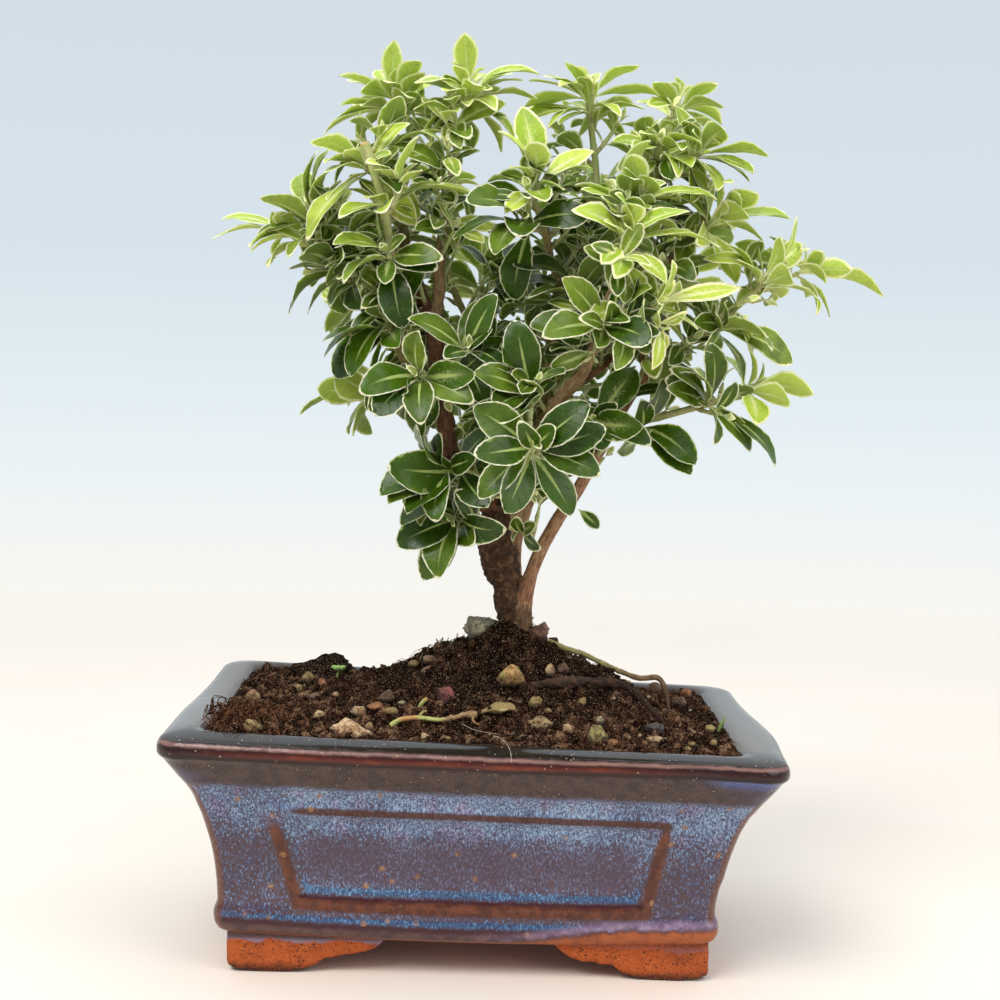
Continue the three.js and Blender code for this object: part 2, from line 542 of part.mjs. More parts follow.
// Every stem is cut clear of the wood and of the stems before it, and every leaf of all the other
// stems and of the leaves before it, so that neighbours keep the gap between them.
function makeShoots(woodClearance) {
  const grown = shoots.map(growShoot);
  const stemClearances = grown.map((shoot) => makeStem(shoot, fitGap));
  let stemsBefore = null;
  let leavesBefore = null;
  const solids = [];
  grown.forEach((shoot, number) => {
    let stem = makeStem(shoot, 0).subtract(woodClearance);
    if (stemsBefore) stem = stem.subtract(stemsBefore);
    let leaves = joinAll(shoot.leaves.map((leaf) => makeLeaf(leaf, shoot.axis, shoot.young, 0)));
    leaves = leaves.subtract(woodClearance);
    stemClearances.forEach((other, index) => {
      if (index !== number) leaves = leaves.subtract(other);
    });
    if (leavesBefore) leaves = leaves.subtract(leavesBefore);
    solids.push(tidyBody(stem.add(leaves)));
    const wide = joinAll(shoot.leaves.map((leaf) => makeLeaf(leaf, shoot.axis, shoot.young, fitGap)));
    stemsBefore = stemsBefore ? stemsBefore.add(stemClearances[number]) : stemClearances[number];
    leavesBefore = leavesBefore ? leavesBefore.add(wide) : wide;
  });
  return solids;
}

// ---- stones and litter ----
// Each row: [x, y, height of its middle, width, depth, thickness, turn, colour].
const stones = {
  stone_grey: [1, 2, 78.4, 12, 9, 8, 0.4, 0x6d6c5c],
  stone_pink: [17, 1, 77.6, 9, 8, 7, 1.1, 0x7d5a4c],
  pebble_ochre: [9, -19, 70.4, 7, 6.4, 7, 0.2, 0xa8763a],
  pebble_long: [16, -30.5, 61.4, 8, 5, 4.4, 0.3, 0x8d7848],
  pebble_olive: [30, -30, 58.9, 6.4, 5, 5, 0.9, 0x8c7c3c],
  pebble_dark: [47, -12, 57.6, 5.6, 4.6, 4, 0.5, 0x453c36],
  pebble_tan: [-31, -35, 59.9, 10, 6, 5.4, 0.1, 0xb08f66],
  lava_lump: [-7, -21.5, 67.2, 5.6, 5, 5, 0.7, 0x5a2f2c],
};

function makeStone([x, y, z, width, depth, thickness, turn], number, growth) {
  const geometry = mergeVertices(new THREE.DodecahedronGeometry(1, 0).deleteAttribute("normal").deleteAttribute("uv"));
  const position = geometry.getAttribute("position");
  for (let i = 0; i < position.count; i += 1) {
    const lump = 1 + 0.12 * Math.sin(i * 12.9 + number * 4.1);
    position.setXYZ(
      i,
      position.getX(i) * (width / 2 * lump + growth),
      position.getY(i) * (depth / 2 * lump + growth),
      position.getZ(i) * (thickness / 2 * lump + growth),
    );
  }
  geometry.rotateZ(turn);
  geometry.translate(x, y, z);
  return asSolid(geometry);
}

const twigPath = [[-20, -31.5, 60.8], [-16, -30, 61.8], [-12, -31, 62], [-8, -30.5, 62.6], [-3, -30.4, 63.2]];
const dryLeafPath = [[1.5, -30, 63.6], [5, -30, 63.8], [10, -29, 64.6]];

function makeTwig(growth) {
  return limb(twigPath, [0.9, 0.9, 0.8, 0.7], 6, 3, growth);
}

function makeDryLeaf(growth) {
  return limb(dryLeafPath, [0.5, 1.6, 0.4], 6, 2, growth);
}

// ---- soil ----
function soilHeight(x, y) {
  const reach = x > moundCentre.x ? moundReachRight : moundReachLeft;
  const away = Math.hypot((x - moundCentre.x) / reach, (y - moundCentre.y) / moundReachDeep);
  return soilEdgeHeight + moundHeight * 0.5 * (1 + Math.cos(Math.PI * Math.min(1, away)));
}

function makeSoil(clearances) {
  const across = 12;
  const deep = 8;
  const depthBelow = 60;
  const block = new THREE.BoxGeometry(potLength, potDepth, depthBelow, across, deep, 1);
  const position = block.getAttribute("position");
  for (let i = 0; i < position.count; i += 1) {
    const top = position.getZ(i) > 0;
    const height = soilHeight(position.getX(i), position.getY(i));
    position.setZ(i, top ? height : 0);
  }
  const cavity = rectangularTurning([
    [innerProfile[4][0] + fitGap, wallFloorTop + 2 * fitGap + 2, 5],
    [innerProfile[3][0] + fitGap, innerProfile[3][1], 5],
    [innerProfile[2][0] + fitGap, innerProfile[2][1], 5],
    [innerProfile[1][0] + fitGap, innerProfile[1][1], 5],
    [innerProfile[1][0] + fitGap, 90, 5],
  ]);
  const filled = asSolid(block).intersect(cavity);
  const settled = asSolid(warped(asGeometry(filled)));
  const fitted = clearances.reduce((soil, piece) => soil.subtract(piece), settled);
  return tidyBody(fitted);
}

// ---- assembly ----
const bonsai = new THREE.Group();

function place(name, solid, material) {
  const mesh = new THREE.Mesh(asGeometry(solid), material);
  mesh.name = name;
  bonsai.add(mesh);
}

const wood = makeWood(0);
const woodClearance = makeWood(fitGap);
const stoneRows = Object.entries(stones);
const stoneClearance = joinAll(stoneRows.map(([, row], number) => makeStone(row, number, fitGap)));

place("pot", asSolid(warped(asGeometry(makePot()))), glaze);
place("drain_mesh_left", makeDrainMesh(-drainHoleSpacing / 2), plasticMesh);
place("drain_mesh_right", makeDrainMesh(drainHoleSpacing / 2), plasticMesh);
place("soil", makeSoil([woodClearance, stoneClearance, makeTwig(fitGap), makeDryLeaf(fitGap)]), peat);
place("tree_wood", tidyBody(wood), bark);

makeShoots(woodClearance).forEach((solid, number) => {
  const colour = matureLeaf.clone().lerp(youngLeaf, shoots[number].young);
  const leafage = new THREE.MeshStandardMaterial({ color: colour, roughness: 0.4, metalness: 0 });
  place(`shoot_${String(number + 1).padStart(2, "0")}`, solid, leafage);
});

stoneRows.forEach(([name, row], number) => {
  const stone = tidyBody(makeStone(row, number, 0).subtract(woodClearance));
  place(name, stone, new THREE.MeshStandardMaterial({ color: row[7], roughness: 0.9, metalness: 0 }));
});
place("lying_twig", makeTwig(0), new THREE.MeshStandardMaterial({ color: 0xb0a060, roughness: 0.7, metalness: 0 }));
place("dry_leaf", makeDryLeaf(0), new THREE.MeshStandardMaterial({ color: 0x8f7a3e, roughness: 0.8, metalness: 0 }));

const extent = new THREE.Box3().setFromObject(bonsai);
bonsai.position.set(-(extent.min.x + extent.max.x) / 2, -(extent.min.y + extent.max.y) / 2, -extent.min.z);
bonsai.updateMatrixWorld(true);

export default bonsai;
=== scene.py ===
import json
import math
import random

import bmesh
import bpy
import numpy as np
from mathutils import Matrix, Vector, kdtree, noise

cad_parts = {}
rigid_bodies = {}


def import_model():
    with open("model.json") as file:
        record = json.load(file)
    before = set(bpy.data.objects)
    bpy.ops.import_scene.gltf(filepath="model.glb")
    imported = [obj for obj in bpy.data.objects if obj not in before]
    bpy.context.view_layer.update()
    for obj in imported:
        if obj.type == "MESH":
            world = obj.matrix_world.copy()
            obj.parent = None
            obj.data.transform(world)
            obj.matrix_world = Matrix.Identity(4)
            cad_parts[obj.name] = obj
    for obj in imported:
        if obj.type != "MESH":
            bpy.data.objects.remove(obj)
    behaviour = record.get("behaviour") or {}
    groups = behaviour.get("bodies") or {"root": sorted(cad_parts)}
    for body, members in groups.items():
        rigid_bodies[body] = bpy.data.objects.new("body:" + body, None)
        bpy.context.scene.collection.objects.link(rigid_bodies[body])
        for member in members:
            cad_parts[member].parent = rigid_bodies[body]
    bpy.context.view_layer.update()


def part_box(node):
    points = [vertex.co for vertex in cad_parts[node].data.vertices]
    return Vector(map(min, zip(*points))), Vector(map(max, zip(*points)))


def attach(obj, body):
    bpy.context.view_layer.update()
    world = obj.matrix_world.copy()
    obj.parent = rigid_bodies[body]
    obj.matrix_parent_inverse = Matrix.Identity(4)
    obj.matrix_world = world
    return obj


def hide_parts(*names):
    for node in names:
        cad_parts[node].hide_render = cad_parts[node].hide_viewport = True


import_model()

millimetre = 0.001
quarterTurn = 1.57
farOff = -12.0  # inside a panel frame, or rather nowhere near one
potLow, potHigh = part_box("pot")
potMiddle = np.array([(potLow.x + potHigh.x) / 2, (potLow.y + potHigh.y) / 2, 0.0])


def inFrame(points):  # millimetres from the middle of the pot's footprint become metres in the frame
    return np.asarray(points, float) * millimetre + potMiddle


def placed(name, data):  # a new object in the scene
    thing = bpy.data.objects.new(name, data)
    bpy.context.scene.collection.objects.link(thing)
    return thing


def hill(*offsets):  # 1 where every offset is 0, falling away smoothly round it
    return np.exp(-sum(offset ** 2 for offset in offsets))


def quads(index):  # the faces between the rows and columns of a grid of point numbers
    corners = [index[:-1, :-1], index[:-1, 1:], index[1:, 1:], index[1:, :-1]]
    return np.stack(corners, axis=2).reshape(-1, 4).tolist()


def facesOf(form):  # the point numbers of each face of a bmesh
    return [[v.index for v in face.verts] for face in form.faces]


def shade(code):  # a colour as on a paint chart, made linear
    parts = [int(code[i:i + 2], 16) / 255 for i in (0, 2, 4)]
    return tuple(c / 12.92 if c <= 0.04045 else ((c + 0.055) / 1.055) ** 2.4 for c in parts) + (1.0,)


def reckoned(operation, swapped=False):  # a method of Wire that adds one Math node
    def method(self, *others):
        return self.maths(operation, *((*others, self) if swapped else (self, *others)))
    return method


class Wire:
    # an output socket that can be reckoned with
    def __init__(self, tree, socket):
        self.tree = tree
        self.socket = socket

    def out(self, name):  # another output of the same node
        return Wire(self.tree, self.socket.node.outputs[name])

    def maths(self, operation, *terms):
        return Bench(self.tree).node("ShaderNodeMath", {"operation": operation}, dict(enumerate(terms)))

    __add__ = __radd__ = reckoned("ADD")
    __mul__ = __rmul__ = reckoned("MULTIPLY")
    __sub__, __rsub__ = reckoned("SUBTRACT"), reckoned("SUBTRACT", swapped=True)
    __truediv__, __pow__, __abs__ = reckoned("DIVIDE"), reckoned("POWER"), reckoned("ABSOLUTE")
    sine, atLeast, atMost = reckoned("SINE"), reckoned("MAXIMUM"), reckoned("MINIMUM")

    def rise(self, low, high):  # 0 below low and 1 above high, eased in between
        sockets = {"Value": self, "From Min": low, "From Max": high}
        return Bench(self.tree).node("ShaderNodeMapRange", {"interpolation_type": "SMOOTHSTEP"}, sockets)

    def near(self, middle, spread):  # 1 at the middle value, falling to 0 at that distance from it
        return 1 - abs(self - middle).rise(0, spread)


class Bench:
    # where nodes are added to one tree
    def __init__(self, tree):
        self.tree = tree

    def plug(self, value, socket):
        if isinstance(value, Wire):
            self.tree.links.new(value.socket, socket)
        else:
            socket.default_value = value

    def node(self, kind, settings=None, sockets=None, output=0):
        made = self.tree.nodes.new(kind)
        for name, value in (settings or {}).items():
            if name == "stops":
                elements = made.color_ramp.elements
                while len(elements) < len(value):
                    elements.new(1)
                for element, (position, tone) in zip(elements, value):
                    element.position = position
                    element.color = tone
            else:
                setattr(made, name, value)
        for name, value in (sockets or {}).items():
            self.plug(value, made.inputs[name])
        return Wire(self.tree, made.outputs[output])

    def vectors(self, operation, sockets, output=0):
        return self.node("ShaderNodeVectorMath", {"operation": operation}, sockets, output)

    def scaled(self, vector, factor):
        return self.vectors("SCALE", {0: vector, "Scale": factor})

    def mix(self, share, first, second):  # colours, or paint-chart codes
        first, second = (shade(c) if isinstance(c, str) else c for c in (first, second))
        return self.node("ShaderNodeMix", {"data_type": "RGBA"}, {0: share, 6: first, 7: second}, 2)

    def layers(self, ground, *coats):  # each coat is a share and a colour laid over what is below it
        for share, tone in coats:
            ground = self.mix(share, ground, tone)
        return ground


class Finish(Bench):
    # a procedural material: spot is the place on the piece in millimetres
    def __init__(self, name):
        self.material = bpy.data.materials.new(name)
        self.material.use_nodes = True
        super().__init__(self.material.node_tree)
        self.shader = self.tree.nodes["Principled BSDF"]
        place = self.node("ShaderNodeTexCoord", output="Object")
        self.spot = self.scaled(place, 1000)

    def axis(self, letter):  # the place along one of the pot's axes
        place = self.node("ShaderNodeSeparateXYZ", None, {0: self.spot}, letter)
        return place if letter == "Z" else place - float(potMiddle["XY".index(letter)] * 1000)

    def trait(self, name, output="Fac"):
        return self.node("ShaderNodeAttribute", {"attribute_name": name}, output=output)

    def stretched(self, factors, spot=None):
        return self.vectors("MULTIPLY", {0: spot or self.spot, 1: factors})

    def mottle(self, scale, detail=2.0, roughness=0.5, spot=None, warp=0.0):
        sockets = {"Vector": spot or self.spot, "Scale": scale, "Detail": detail, "Roughness": roughness,
            "Distortion": warp}
        return self.node("ShaderNodeTexNoise", None, sockets)

    def cells(self, scale, spot=None, feature="F1"):
        sockets = {"Vector": spot or self.spot, "Scale": scale}
        return self.node("ShaderNodeTexVoronoi", {"feature": feature}, sockets)

    def coat(self, name, value):
        self.plug(value, self.shader.inputs[name])

    def relief(self, height, depth, strength=1.0):  # depth in millimetres
        sockets = {"Strength": strength, "Distance": depth * millimetre, "Height": height}
        self.coat("Normal", self.node("ShaderNodeBump", None, sockets))

    def done(self, tone, roughness, *relief):
        self.coat("Base Color", tone)
        self.coat("Roughness", roughness)
        self.relief(*relief)
        return self.material


class Tool(Bench):
    # a Geometry Nodes group with named inputs
    def __init__(self, name, inputs):
        super().__init__(bpy.data.node_groups.new(name, "GeometryNodeTree"))
        sockets = self.tree.interface
        sockets.new_socket("Geometry", in_out="INPUT", socket_type="NodeSocketGeometry")
        for label, kind in inputs.items():
            sockets.new_socket(label, in_out="INPUT", socket_type="NodeSocket" + kind)
        sockets.new_socket("Geometry", in_out="OUTPUT", socket_type="NodeSocketGeometry")
        self.entry = self.tree.nodes.new("NodeGroupInput")

    def step(self, kind, sockets, output=0):
        return self.node("GeometryNode" + kind, None, sockets, output)

    def given(self, label):
        return Wire(self.tree, self.entry.outputs[label])

    def named(self, name, kind="FLOAT"):
        return self.node("GeometryNodeInputNamedAttribute", {"data_type": kind}, {"Name": name})

    def summed(self, *vectors):
        whole = vectors[0]
        for vector in vectors[1:]:
            whole = self.vectors("ADD", {0: whole, 1: vector})
        return whole

    def tube(self, line, sides, girth):  # a round tube along a line of loose edges
        curve = self.step("MeshToCurve", {"Mesh": line})
        ring = self.step("CurvePrimitiveCircle", {"Resolution": sides, "Radius": 1.0})
        return self.step("CurveToMesh", {"Curve": curve, "Profile Curve": ring, "Fill Caps": True, "Scale": girth})

    def between(self, low, high, seed):  # a random number
        return self.node("FunctionNodeRandomValue", {"data_type": "FLOAT"}, {2: low, 3: high, "Seed": seed}, 1)

    def keep(self, geometry, name, value, kind="FLOAT", domain="POINT"):
        settings = {"data_type": kind, "domain": domain}
        return self.node("GeometryNodeStoreNamedAttribute", settings,
            {"Geometry": geometry, "Name": name, "Value": value})

    def ending(self, geometry, *finishes):  # finishes: the label of a material input, and which faces take it
        done = self.step("RealizeInstances", {"Geometry": geometry})
        done = self.step("SetShadeSmooth", {"Geometry": done})
        for label, share in finishes:
            done = self.step("SetMaterial", {"Geometry": done, "Selection": share, "Material": self.given(label)})
        outlet = self.tree.nodes.new("NodeGroupOutput")
        self.plug(done, outlet.inputs["Geometry"])

    def use(self, mesh, values):  # runs the group on a mesh and gives back the plain mesh that comes out
        source = placed("workpiece", mesh)
        modifier = source.modifiers.new(self.tree.name, "NODES")
        modifier.node_group = self.tree
        for item in self.tree.interface.items_tree:
            if item.in_out == "INPUT" and item.name in values:
                modifier[item.identifier] = values[item.name]
        return taken(source)


def taken(source):  # the evaluated mesh of a work piece, which is then cleared away
    graph = bpy.context.evaluated_depsgraph_get()
    mesh = bpy.data.meshes.new_from_object(source.evaluated_get(graph), depsgraph=graph)
    source.modifiers.clear()
    bpy.data.objects.remove(source)
    return mesh


def writeTrait(mesh, name, values):
    values = np.asarray(values, np.float32)
    kind, field = ("FLOAT", "value") if values.ndim == 1 else ("FLOAT_VECTOR", "vector")
    trait = mesh.attributes.get(name) or mesh.attributes.new(name, kind, "POINT")
    trait.data.foreach_set(field, values.ravel())


def meshOf(points, faces, traits=None, edges=(), smooth=True):  # points in millimetres on the pot's axes
    mesh = bpy.data.meshes.new("mesh")
    mesh.from_pydata(inFrame(points), edges, faces)
    mesh.polygons.foreach_set("use_smooth", [smooth] * len(mesh.polygons))
    for name, values in (traits or {}).items():
        writeTrait(mesh, name, values)
    mesh.update()
    return mesh


def pointsOf(mesh):  # the other way round: millimetres on the pot's axes
    flat = np.zeros(len(mesh.vertices) * 3)
    mesh.vertices.foreach_get("co", flat)
    return (flat.reshape(-1, 3) - potMiddle) * 1000


def normalsOf(mesh):
    flat = np.zeros(len(mesh.vertices) * 3, np.float32)
    mesh.vertex_normals.foreach_get("vector", flat)
    return flat.reshape(-1, 3)


def movePoints(mesh, points):
    mesh.vertices.foreach_set("co", inFrame(points).ravel())
    mesh.update()


def remeshed(mesh, voxel):  # one closed skin round everything in the mesh
    source = placed("workpiece", mesh)
    modifier = source.modifiers.new("skin", "REMESH")
    modifier.mode = "VOXEL"
    modifier.voxel_size = voxel * millimetre
    modifier.use_smooth_shade = True
    return taken(source)


def ripple(points, scale, seed=0.0):  # smooth noise from -1 to 1 at each point
    shift = Vector((seed * 7.1, seed * 3.7, seed * 5.3))
    return np.array([noise.noise(Vector(p) * scale + shift) for p in points])


def asPiece(name, mesh, nodes=(), materials=()):
    mesh.name = name
    if materials:
        mesh.materials.clear()
    for material in materials:
        mesh.materials.append(material)
    thing = placed(name, mesh)
    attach(thing, "root")
    if nodes:
        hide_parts(*nodes)
    return thing


def easedRows(rows, step):  # a smooth line through rows of numbers, in short steps
    rows = np.asarray(rows, float)
    padded = np.vstack([2 * rows[0] - rows[1], rows, 2 * rows[-1] - rows[-2]])
    line = []
    for a, b, c, d in zip(padded, padded[1:], padded[2:], padded[3:]):
        count = max(2, int(np.linalg.norm((c - b)[:3]) / step))
        t = np.linspace(0, 1, count, endpoint=False)[:, None]
        square, cube = (2 * a - 5 * b + 4 * c - d) * t ** 2, (3 * b - a - 3 * c + d) * t ** 3
        line.append(0.5 * (2 * b + (c - a) * t + square + cube))
    return np.vstack(line + [rows[-1:]])


def crowded(distances, steps):  # places along a line, closer together where the wanted step is short
    pace = np.diff(distances) / ((steps[1:] + steps[:-1]) / 2)
    effort = np.concatenate([[0], np.cumsum(pace)])
    count = max(2, round(effort[-1]))
    return np.interp(np.linspace(0, effort[-1], count + 1), effort, distances)


def alongLine(line):  # distance from its start at each point of a line
    return np.concatenate([[0], np.cumsum(np.linalg.norm(np.diff(line, axis=0), axis=1))])


def strands(lines):  # one mesh of loose edges: each line is its points, its girths and its own traits
    points, edges, girths, runs, tints = [], [], [], [], []
    for line, girth, tint in lines:
        start = len(points)
        points.extend(line)
        edges.extend((start + i, start + i + 1) for i in range(len(line) - 1))
        girths.extend(np.asarray(girth) * millimetre)
        runs.extend(alongLine(np.asarray(line)))
        tints.extend([tint] * len(line))
    return meshOf(points, [], {"girth": girths, "run": runs, "tint": tints}, edges)


def sweepTool():  # a round tube along every strand, as thick as its girth says
    tool = Tool("sweep", {"Sides": "Int", "Thickness": "Float", "Finish": "Material"})
    girth = tool.named("girth") * tool.given("Thickness")
    tool.ending(tool.tube(tool.given("Geometry"), tool.given("Sides"), girth), ("Finish", True))
    return tool


sweep = sweepTool()


def swept(lines, sides, finish=None):
    return sweep.use(strands(lines), {"Sides": sides, "Thickness": 1.0, "Finish": finish})


studio = {
    "lens": 58.84,
    "cameraSpot": (3.31, -436.9, 141.5),  # millimetres from the middle of the pot
    "yaw": 0.255, "pitch": 3.31, "roll": 1.39,  # degrees
    "domeLight": 1.0, "overheadLight": 0.75, "frontLight": 0.7,
    "keyPower": 9.0, "fillPower": 3.4,
    "floorFades": (0.30, 0.80),  # metres from the pot
}


def makeCamera():
    lens = bpy.data.cameras.new("camera")
    lens.lens = studio["lens"]
    lens.sensor_width = 36
    lens.clip_start = 0.01
    lens.clip_end = 20
    yaw, pitch, roll = (math.radians(studio[k]) for k in ("yaw", "pitch", "roll"))
    ahead = Vector((math.sin(yaw) * math.cos(pitch), math.cos(yaw) * math.cos(pitch), -math.sin(pitch)))
    level = Vector((math.cos(yaw), -math.sin(yaw), 0))
    above = level.cross(ahead)
    right = math.cos(roll) * level + math.sin(roll) * above
    up = -math.sin(roll) * level + math.cos(roll) * above
    turn = Matrix((right, up, -ahead)).transposed().to_4x4()
    camera = placed("camera", lens)
    camera.matrix_world = Matrix.Translation(inFrame(studio["cameraSpot"])) @ turn
    bpy.context.scene.camera = camera


def makeDome():  # a pale surround, faint blue above the horizon, brighter overhead and dimmer in front
    world = bpy.data.worlds.new("surround")
    world.use_nodes = True
    bench = Bench(world.node_tree)
    direction = bench.node("ShaderNodeTexCoord", output="Generated")
    height = bench.node("ShaderNodeSeparateXYZ", None, {0: direction}, "Z")
    inFront = 1 - height.out("Y").rise(-0.5, 0.25)
    stops = [(0.0, shade("f8f3ea")), (0.20, shade("f9f7f1")), (0.30, shade("f0f5f5")), (0.42, shade("e6f0f4")),
        (0.62, shade("d8e4ec")), (1.0, shade("d3dce4"))]
    sky = bench.node("ShaderNodeValToRGB", {"stops": stops}, {0: (height + 0.21) * 2.1})
    light = studio["domeLight"] - inFront * (studio["domeLight"] - studio["frontLight"])
    light = light + height.rise(0.35, 0.85) * studio["overheadLight"]
    bench.plug(sky, world.node_tree.nodes["Background"].inputs["Color"])
    bench.plug(light, world.node_tree.nodes["Background"].inputs["Strength"])
    bpy.context.scene.world = world


def makeLamp(name, spot, power, size):
    lamp = bpy.data.lights.new(name, "AREA")
    lamp.shape = "DISK"
    lamp.size = size
    lamp.energy = power
    lamp.color = (1.0, 0.985, 0.96)
    holder = placed(name, lamp)
    holder.location = spot
    holder.rotation_euler = (Vector((0, 0, 0.1)) - Vector(spot)).to_track_quat("-Z", "Y").to_euler()


def floorPaint():
    paint = Finish("pale floor")
    cloud = paint.mottle(0.012, 3)
    paint.coat("Base Color", paint.mix(cloud, "ebdccc", "f2e5d8"))
    paint.coat("Roughness", 0.7)
    paint.relief(paint.mottle(1.4, 2), 0.05, 0.3)
    flat = paint.stretched((1, 1, 0))
    away = paint.vectors("LENGTH", {0: flat}, "Value")
    near, far = (reach * 1000 for reach in studio["floorFades"])
    clear = paint.node("ShaderNodeBsdfTransparent")
    shown = paint.node("ShaderNodeMixShader", None,
        {0: away.rise(near, far), 1: Wire(paint.tree, paint.shader.outputs[0]), 2: clear})
    paint.plug(shown, paint.tree.nodes["Material Output"].inputs["Surface"])
    return paint.material


def makeFloor():
    disc = bmesh.new()
    bmesh.ops.create_circle(disc, cap_ends=True, radius=studio["floorFades"][1] + 0.05, segments=96)
    mesh = bpy.data.meshes.new("floor")
    disc.to_mesh(mesh)
    disc.free()
    mesh.materials.append(floorPaint())
    floor = placed("floor", mesh)
    floor.location = (0, 0, -0.0002)


makeCamera()
makeDome()
makeLamp("key", (-0.45, -0.65, 0.95), studio["keyPower"], 0.7)
makeLamp("fill", (0.7, -0.55, 0.55), studio["fillPower"], 0.8)
makeFloor()
bpy.context.scene.view_settings.view_transform = "Standard"
print("camera, surround, lamps and floor are set")


pot = {
    "length": 150, "depth": 108,  # over the lip
    "warp": 0.032,  # the left end stands this fraction taller, the right end lower
    "coarseStep": 1.25, "fineStep": 0.5, "hiddenStep": 4.0,
    "frameLow": 18.35, "frameHigh": 41.5, "frameFront": 47.2, "frameEnd": 26.5, "frameTrim": 3.3,
    "frameStands": 0.95, "frameHalfWidth": 2.3, "frameAskew": (1.7, 0.4), "cornerDroop": 0.4, "bottomSag": 1.2,
    "backRises": (1.6, -0.8),  # at the middle of the back, and how much that grows to the right
    "handWobble": 0.3,
    # height, and how far the right end stands out there
    "rightBelly": [(20, -1.2), (24, -0.7), (27, 0), (31, 0.25), (40, 0.5), (43, 0.7), (46, 1.1), (50, 1.2)],
    "fineBands": [(18.4, 1.9), (41.5, 1.9), (54.8, 1.4), (57.8, 1.3), (10.6, 1.2), (13.6, 2.2)],  # height, reach
    "drainRadius": 7, "drainSides": 32, "drainSpacing": 58, "underside": 9.6, "insideFloor": 17,
    "netSquares": 9, "netHalf": 10.6, "netThread": 0.85,
    "footInset": 15.2, "footReach": 41, "footReachBack": 0.62, "footThickness": 9, "footVoxel": 0.8,
}
# from the underside up the outside, over the rim and down the inside: how far in from the widest
# outline, the height, and the radius of the corners
potProfile = [
    (16.4, 9.6, 3.4), (14.9, 9.7, 3.6), (13.4, 10.4, 3.8), (12.5, 11.8, 4), (12.15, 13.5, 4.2), (12.2, 15.1, 4.2),
    (12.6, 16.3, 4), (12.95, 17.4, 3.8), (12.92, 19.5, 3.6), (12.7, 23, 3.6), (12.2, 27.5, 3.6), (11.5, 31.5, 3.6),
    (10.6, 35.2, 3.6), (9.5, 39, 3.8), (8.5, 41.6, 4), (7.5, 44.2, 4.2), (6.2, 46.6, 4.6), (4.7, 48.8, 5.2),
    (3.2, 50.9, 5.8), (2.1, 52.4, 6.3), (1.45, 53.4, 6.6), (0.95, 54, 6.8), (0.3, 54.55, 7), (0, 55.2, 7),
    (0, 56.2, 7), (0.12, 57, 7), (0.45, 57.75, 6.9), (1.1, 58.4, 6.6), (2.2, 58.95, 6.2), (3.8, 59.35, 5.8),
    (5.4, 59.65, 5.4), (6.8, 59.8, 5), (7.9, 59.75, 4.8), (8.8, 59.3, 4.6), (9.4, 58.4, 4.6), (9.9, 57.2, 4.6),
    (10.2, 55, 4.6), (11.5, 50, 4.8),
    (16.5, 36, 5), (18.5, 17, 5),
]


def spacing(detail):  # how far apart points stand, finer where there is detail
    return pot["coarseStep"] + (pot["fineStep"] - pot["coarseStep"]) * detail


def tilt(x):  # the fired pot leans: taller at its left end
    return 1 - pot["warp"] * x / (pot["length"] / 2)


def ringPlan(half, ridge):  # where the columns of one straight wall stand, from -1 to 1
    places = np.linspace(-1, 1, 801)
    close = hill((np.abs(places) * half - ridge) / 3.4)
    return crowded(places * half, spacing(close))[:-1] / half


def ringColumns():  # for each column: which corner it hangs on, and which way the wall faces there
    long = ringPlan(pot["length"] / 2 - 14, pot["frameFront"] - 1.6)
    short = ringPlan(pot["depth"] / 2 - 14, pot["frameEnd"] - 1.6)
    corner = np.linspace(0, math.pi / 2, 9)[:-1]
    columns = []
    for quarter, wall in enumerate((short, long, short, long)):
        face = quarter * math.pi / 2
        outX, outY = round(math.cos(face)), round(math.sin(face))
        for u in wall:
            columns.append((outX if outX else -outY * u, outY if outY else outX * u, outX, outY, abs(u)))
        endX = outX if outX else -outY
        endY = outY if outY else outX
        for angle in corner:
            columns.append((endX, endY, math.cos(face + angle), math.sin(face + angle), 1.0))
    return np.array(columns)


def potRows():
    line = easedRows(potProfile, 0.1)
    height, inset = line[:, 1], line[:, 0]
    outside = np.arange(len(line)) < np.argmax(inset[len(line) // 2:] > 9.4) + len(line) // 2
    detail = sum(hill((height - spot) / reach) for spot, reach in pot["fineBands"])
    wanted = np.where(outside, spacing(np.minimum(1, detail)), np.where(height < 57, pot["hiddenStep"], 1.0))
    distance = alongLine(line[:, :2])
    places = crowded(distance, wanted)
    return np.stack([np.interp(places, distance, line[:, k]) for k in range(3)], axis=1)


def frameGap(across, height, halfWidth):  # how far inside the frame's line a place on a wall is
    lean = pot["frameTrim"] * (pot["frameHigh"] - height) / (pot["frameHigh"] - pot["frameLow"])
    askew = np.where(across < 0, *pot["frameAskew"]) * np.interp(height, (18, 41), (1, -0.9))
    sides = halfWidth - lean - askew - np.abs(across)
    ends = np.minimum(height - pot["frameLow"], pot["frameHigh"] - height)
    blend = np.maximum(0, 1.6 - np.abs(sides - ends))  # rounds the frame's corners
    return np.minimum(sides, ends) - blend ** 2 / 6.4


def backRise(x, y):  # the far wall stands a little taller, most of all at its left end
    middle, slope = pot["backRises"]
    return (middle + slope * x / 70) * np.clip(y / 52, 0, 1.1) ** 1.3


